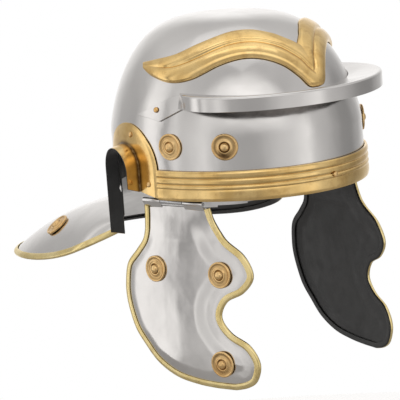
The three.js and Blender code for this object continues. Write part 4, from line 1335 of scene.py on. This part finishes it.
def add_camera():
    forward = np.array([
        math.sin(CAMERA_TURN) * math.cos(CAMERA_RISE),
        math.cos(CAMERA_TURN) * math.cos(CAMERA_RISE),
        -math.sin(CAMERA_RISE),
    ])
    level_right = np.array([math.cos(CAMERA_TURN), -math.sin(CAMERA_TURN), 0])
    level_up = np.cross(level_right, forward)
    c, s = math.cos(CAMERA_ROLL), math.sin(CAMERA_ROLL)
    right, up = c * level_right + s * level_up, c * level_up - s * level_right
    rim_centre = np.array([0, 0, RIM_Z])
    place = rim_centre - forward * CAMERA_DISTANCE
    ahead = unit(rim_centre + right * AIM_RIGHT + up * AIM_UP - place)
    right = unit(right - ahead * np.dot(right, ahead))
    up = np.cross(right, ahead)
    data = bpy.data.cameras.new("camera")
    data.lens, data.sensor_width = CAMERA_LENS, 36
    data.clip_start, data.clip_end = 0.05, 50
    camera = bpy.data.objects.new("camera", data)
    bpy.context.scene.collection.objects.link(camera)
    axes = np.stack([right, up, -ahead], -1)
    camera.matrix_world = Matrix.Translation(Vector(place)) @ Matrix(axes.tolist()).to_4x4()
    bpy.context.scene.camera = camera


add_camera()


# Floor, world and lights
FLOOR_Z = -0.6
FLOOR_RADIUS = 1.0
FLOOR_GLOW = 0.12


def dim_in_reflections(tree):
    """Makes the floor look darker in polished surfaces than it is."""
    dim = node(tree, "ShaderNodeBsdfDiffuse")
    dim.inputs["Color"].default_value = (0.42, 0.41, 0.40, 1)
    path = node(tree, "ShaderNodeLightPath")
    chosen = node(tree, "ShaderNodeMixShader")
    tree.links.new(path.outputs["Is Glossy Ray"], chosen.inputs["Fac"])
    tree.links.new(tree.nodes["Principled BSDF"].outputs[0], chosen.inputs[1])
    tree.links.new(dim.outputs[0], chosen.inputs[2])
    tree.links.new(chosen.outputs[0], tree.nodes["Material Output"].inputs["Surface"])


def add_floor():
    sides = 128
    points = [(0, 0, FLOOR_Z)]
    points += [(FLOOR_RADIUS * math.cos(math.tau * k / sides), FLOOR_RADIUS * math.sin(math.tau * k / sides),
                FLOOR_Z) for k in range(sides)]
    faces = [(0, 1 + k, 1 + (k + 1) % sides) for k in range(sides)]
    mesh = bpy.data.meshes.new("floor")
    mesh.from_pydata(points, [], faces)
    material = bpy.data.materials.new("pale_floor")
    material.use_nodes = True
    sockets = material.node_tree.nodes["Principled BSDF"].inputs
    sockets["Base Color"].default_value = (0.95, 0.95, 0.95, 1)
    sockets["Roughness"].default_value = 0.9
    sockets["Specular IOR Level"].default_value = 0.1
    sockets["Emission Color"].default_value = (1, 1, 1, 1)
    sockets["Emission Strength"].default_value = FLOOR_GLOW
    dim_in_reflections(material.node_tree)
    mesh.materials.append(material)
    floor = bpy.data.objects.new("floor", mesh)
    bpy.context.scene.collection.objects.link(floor)


# Brightness of the studio round the object near the horizon, by angle in degrees from the
# side that the photographer stands on, turning to the object's right as they see it
STUDIO_ROUND = [
    (-180, 1.2), (-152, 0.85), (-136, 0.55), (-110, 0.5), (-98, 1.3), (-86, 1.3), (-79, 0.3),
    (-71, 1.15), (-62, 0.75), (-53, 0.85), (-43, 1.05), (-29, 0.55), (-8, 0.48), (5, 0.5),
    (24, 0.8), (40, 0.88), (57, 1.2), (67, 0.7), (84, 0.6), (106, 0.36), (124, 0.33),
    (148, 0.6), (180, 1.2),
]
# And overhead, from the photographer's side (0) to the far side (1)
STUDIO_ABOVE = [(0, 1.9), (0.08, 1.7), (0.21, 0.62), (0.4, 0.75), (0.54, 1.0), (0.7, 0.78), (1, 0.62)]
STUDIO_TURN = math.radians(42)
CAMERA_BACKGROUND = 1.0


def add_world():
    world = bpy.data.worlds.new("studio")
    bpy.context.scene.world = world
    world.use_nodes = True
    tree = world.node_tree
    tree.nodes.clear()
    place = node(tree, "ShaderNodeTexCoord")
    turned = node(tree, "ShaderNodeMapping", vector_type="VECTOR")
    turned.inputs["Rotation"].default_value = (0, 0, STUDIO_TURN)
    tree.links.new(place.outputs["Generated"], turned.inputs["Vector"])
    split = node(tree, "ShaderNodeSeparateXYZ")
    tree.links.new(turned.outputs["Vector"], split.inputs[0])
    away = node(tree, "ShaderNodeMath", operation="MULTIPLY")
    away.inputs[1].default_value = -1
    tree.links.new(split.outputs["Y"], away.inputs[0])
    angle = node(tree, "ShaderNodeMath", operation="ARCTAN2")
    tree.links.new(split.outputs["X"], angle.inputs[0])
    tree.links.new(away.outputs[0], angle.inputs[1])
    round_share = level(tree, angle.outputs[0], 0, 1, -math.pi, math.pi)
    around = ramp(tree, round_share, [((turn + 180) / 360, grey(value)) for turn, value in STUDIO_ROUND])
    far_share = level(tree, split.outputs["Y"], 0, 1, -1, 1)
    above = ramp(tree, far_share, [(stop, grey(value)) for stop, value in STUDIO_ABOVE])
    height = level(tree, split.outputs["Z"], 0, 1, 0.2, 0.6)
    lit = node(tree, "ShaderNodeBackground")
    tree.links.new(blend_colours(tree, height, around, above), lit.inputs["Color"])
    plain = node(tree, "ShaderNodeBackground")
    plain.inputs["Color"].default_value = (1, 1, 1, 1)
    plain.inputs["Strength"].default_value = CAMERA_BACKGROUND
    path = node(tree, "ShaderNodeLightPath")
    chosen = node(tree, "ShaderNodeMixShader")
    tree.links.new(path.outputs["Is Camera Ray"], chosen.inputs["Fac"])
    tree.links.new(lit.outputs[0], chosen.inputs[1])
    tree.links.new(plain.outputs[0], chosen.inputs[2])
    output = node(tree, "ShaderNodeOutputWorld")
    tree.links.new(chosen.outputs[0], output.inputs["Surface"])


def grey(value):
    return (value, value * 0.985, value * 0.97)


def add_softbox(name, place, size, brightness, shows, target=(0, 0, -0.13)):
    """brightness is the lamp's radiance, which adds to the studio's; shows says whether it is
    seen in polished surfaces."""
    data = bpy.data.lights.new(name, "AREA")
    data.shape = "RECTANGLE"
    data.size, data.size_y = size
    data.energy = brightness * math.pi * size[0] * size[1]
    light = bpy.data.objects.new(name, data)
    bpy.context.scene.collection.objects.link(light)
    aim = Vector(target) - Vector(place)
    light.rotation_euler = aim.to_track_quat("-Z", "Y").to_euler()
    light.location = place
    light.visible_glossy = shows


def add_lights():
    add_softbox("top", (0.0, 0.0, 2.3), (2.6, 2.6), 0.2, True)
    add_softbox("key", (-2.0, -0.2, 1.25), (0.8, 1.4), 1.6, False)
    add_softbox("fill", (0.5, -2.3, 1.0), (0.9, 1.2), 1.3, False)
    add_softbox("strip", (-0.42, -0.46, 1.9), (2.2, 0.42), 0.6, True)


bpy.context.scene.view_settings.view_transform = "Standard"
add_floor()
add_world()
add_lights()
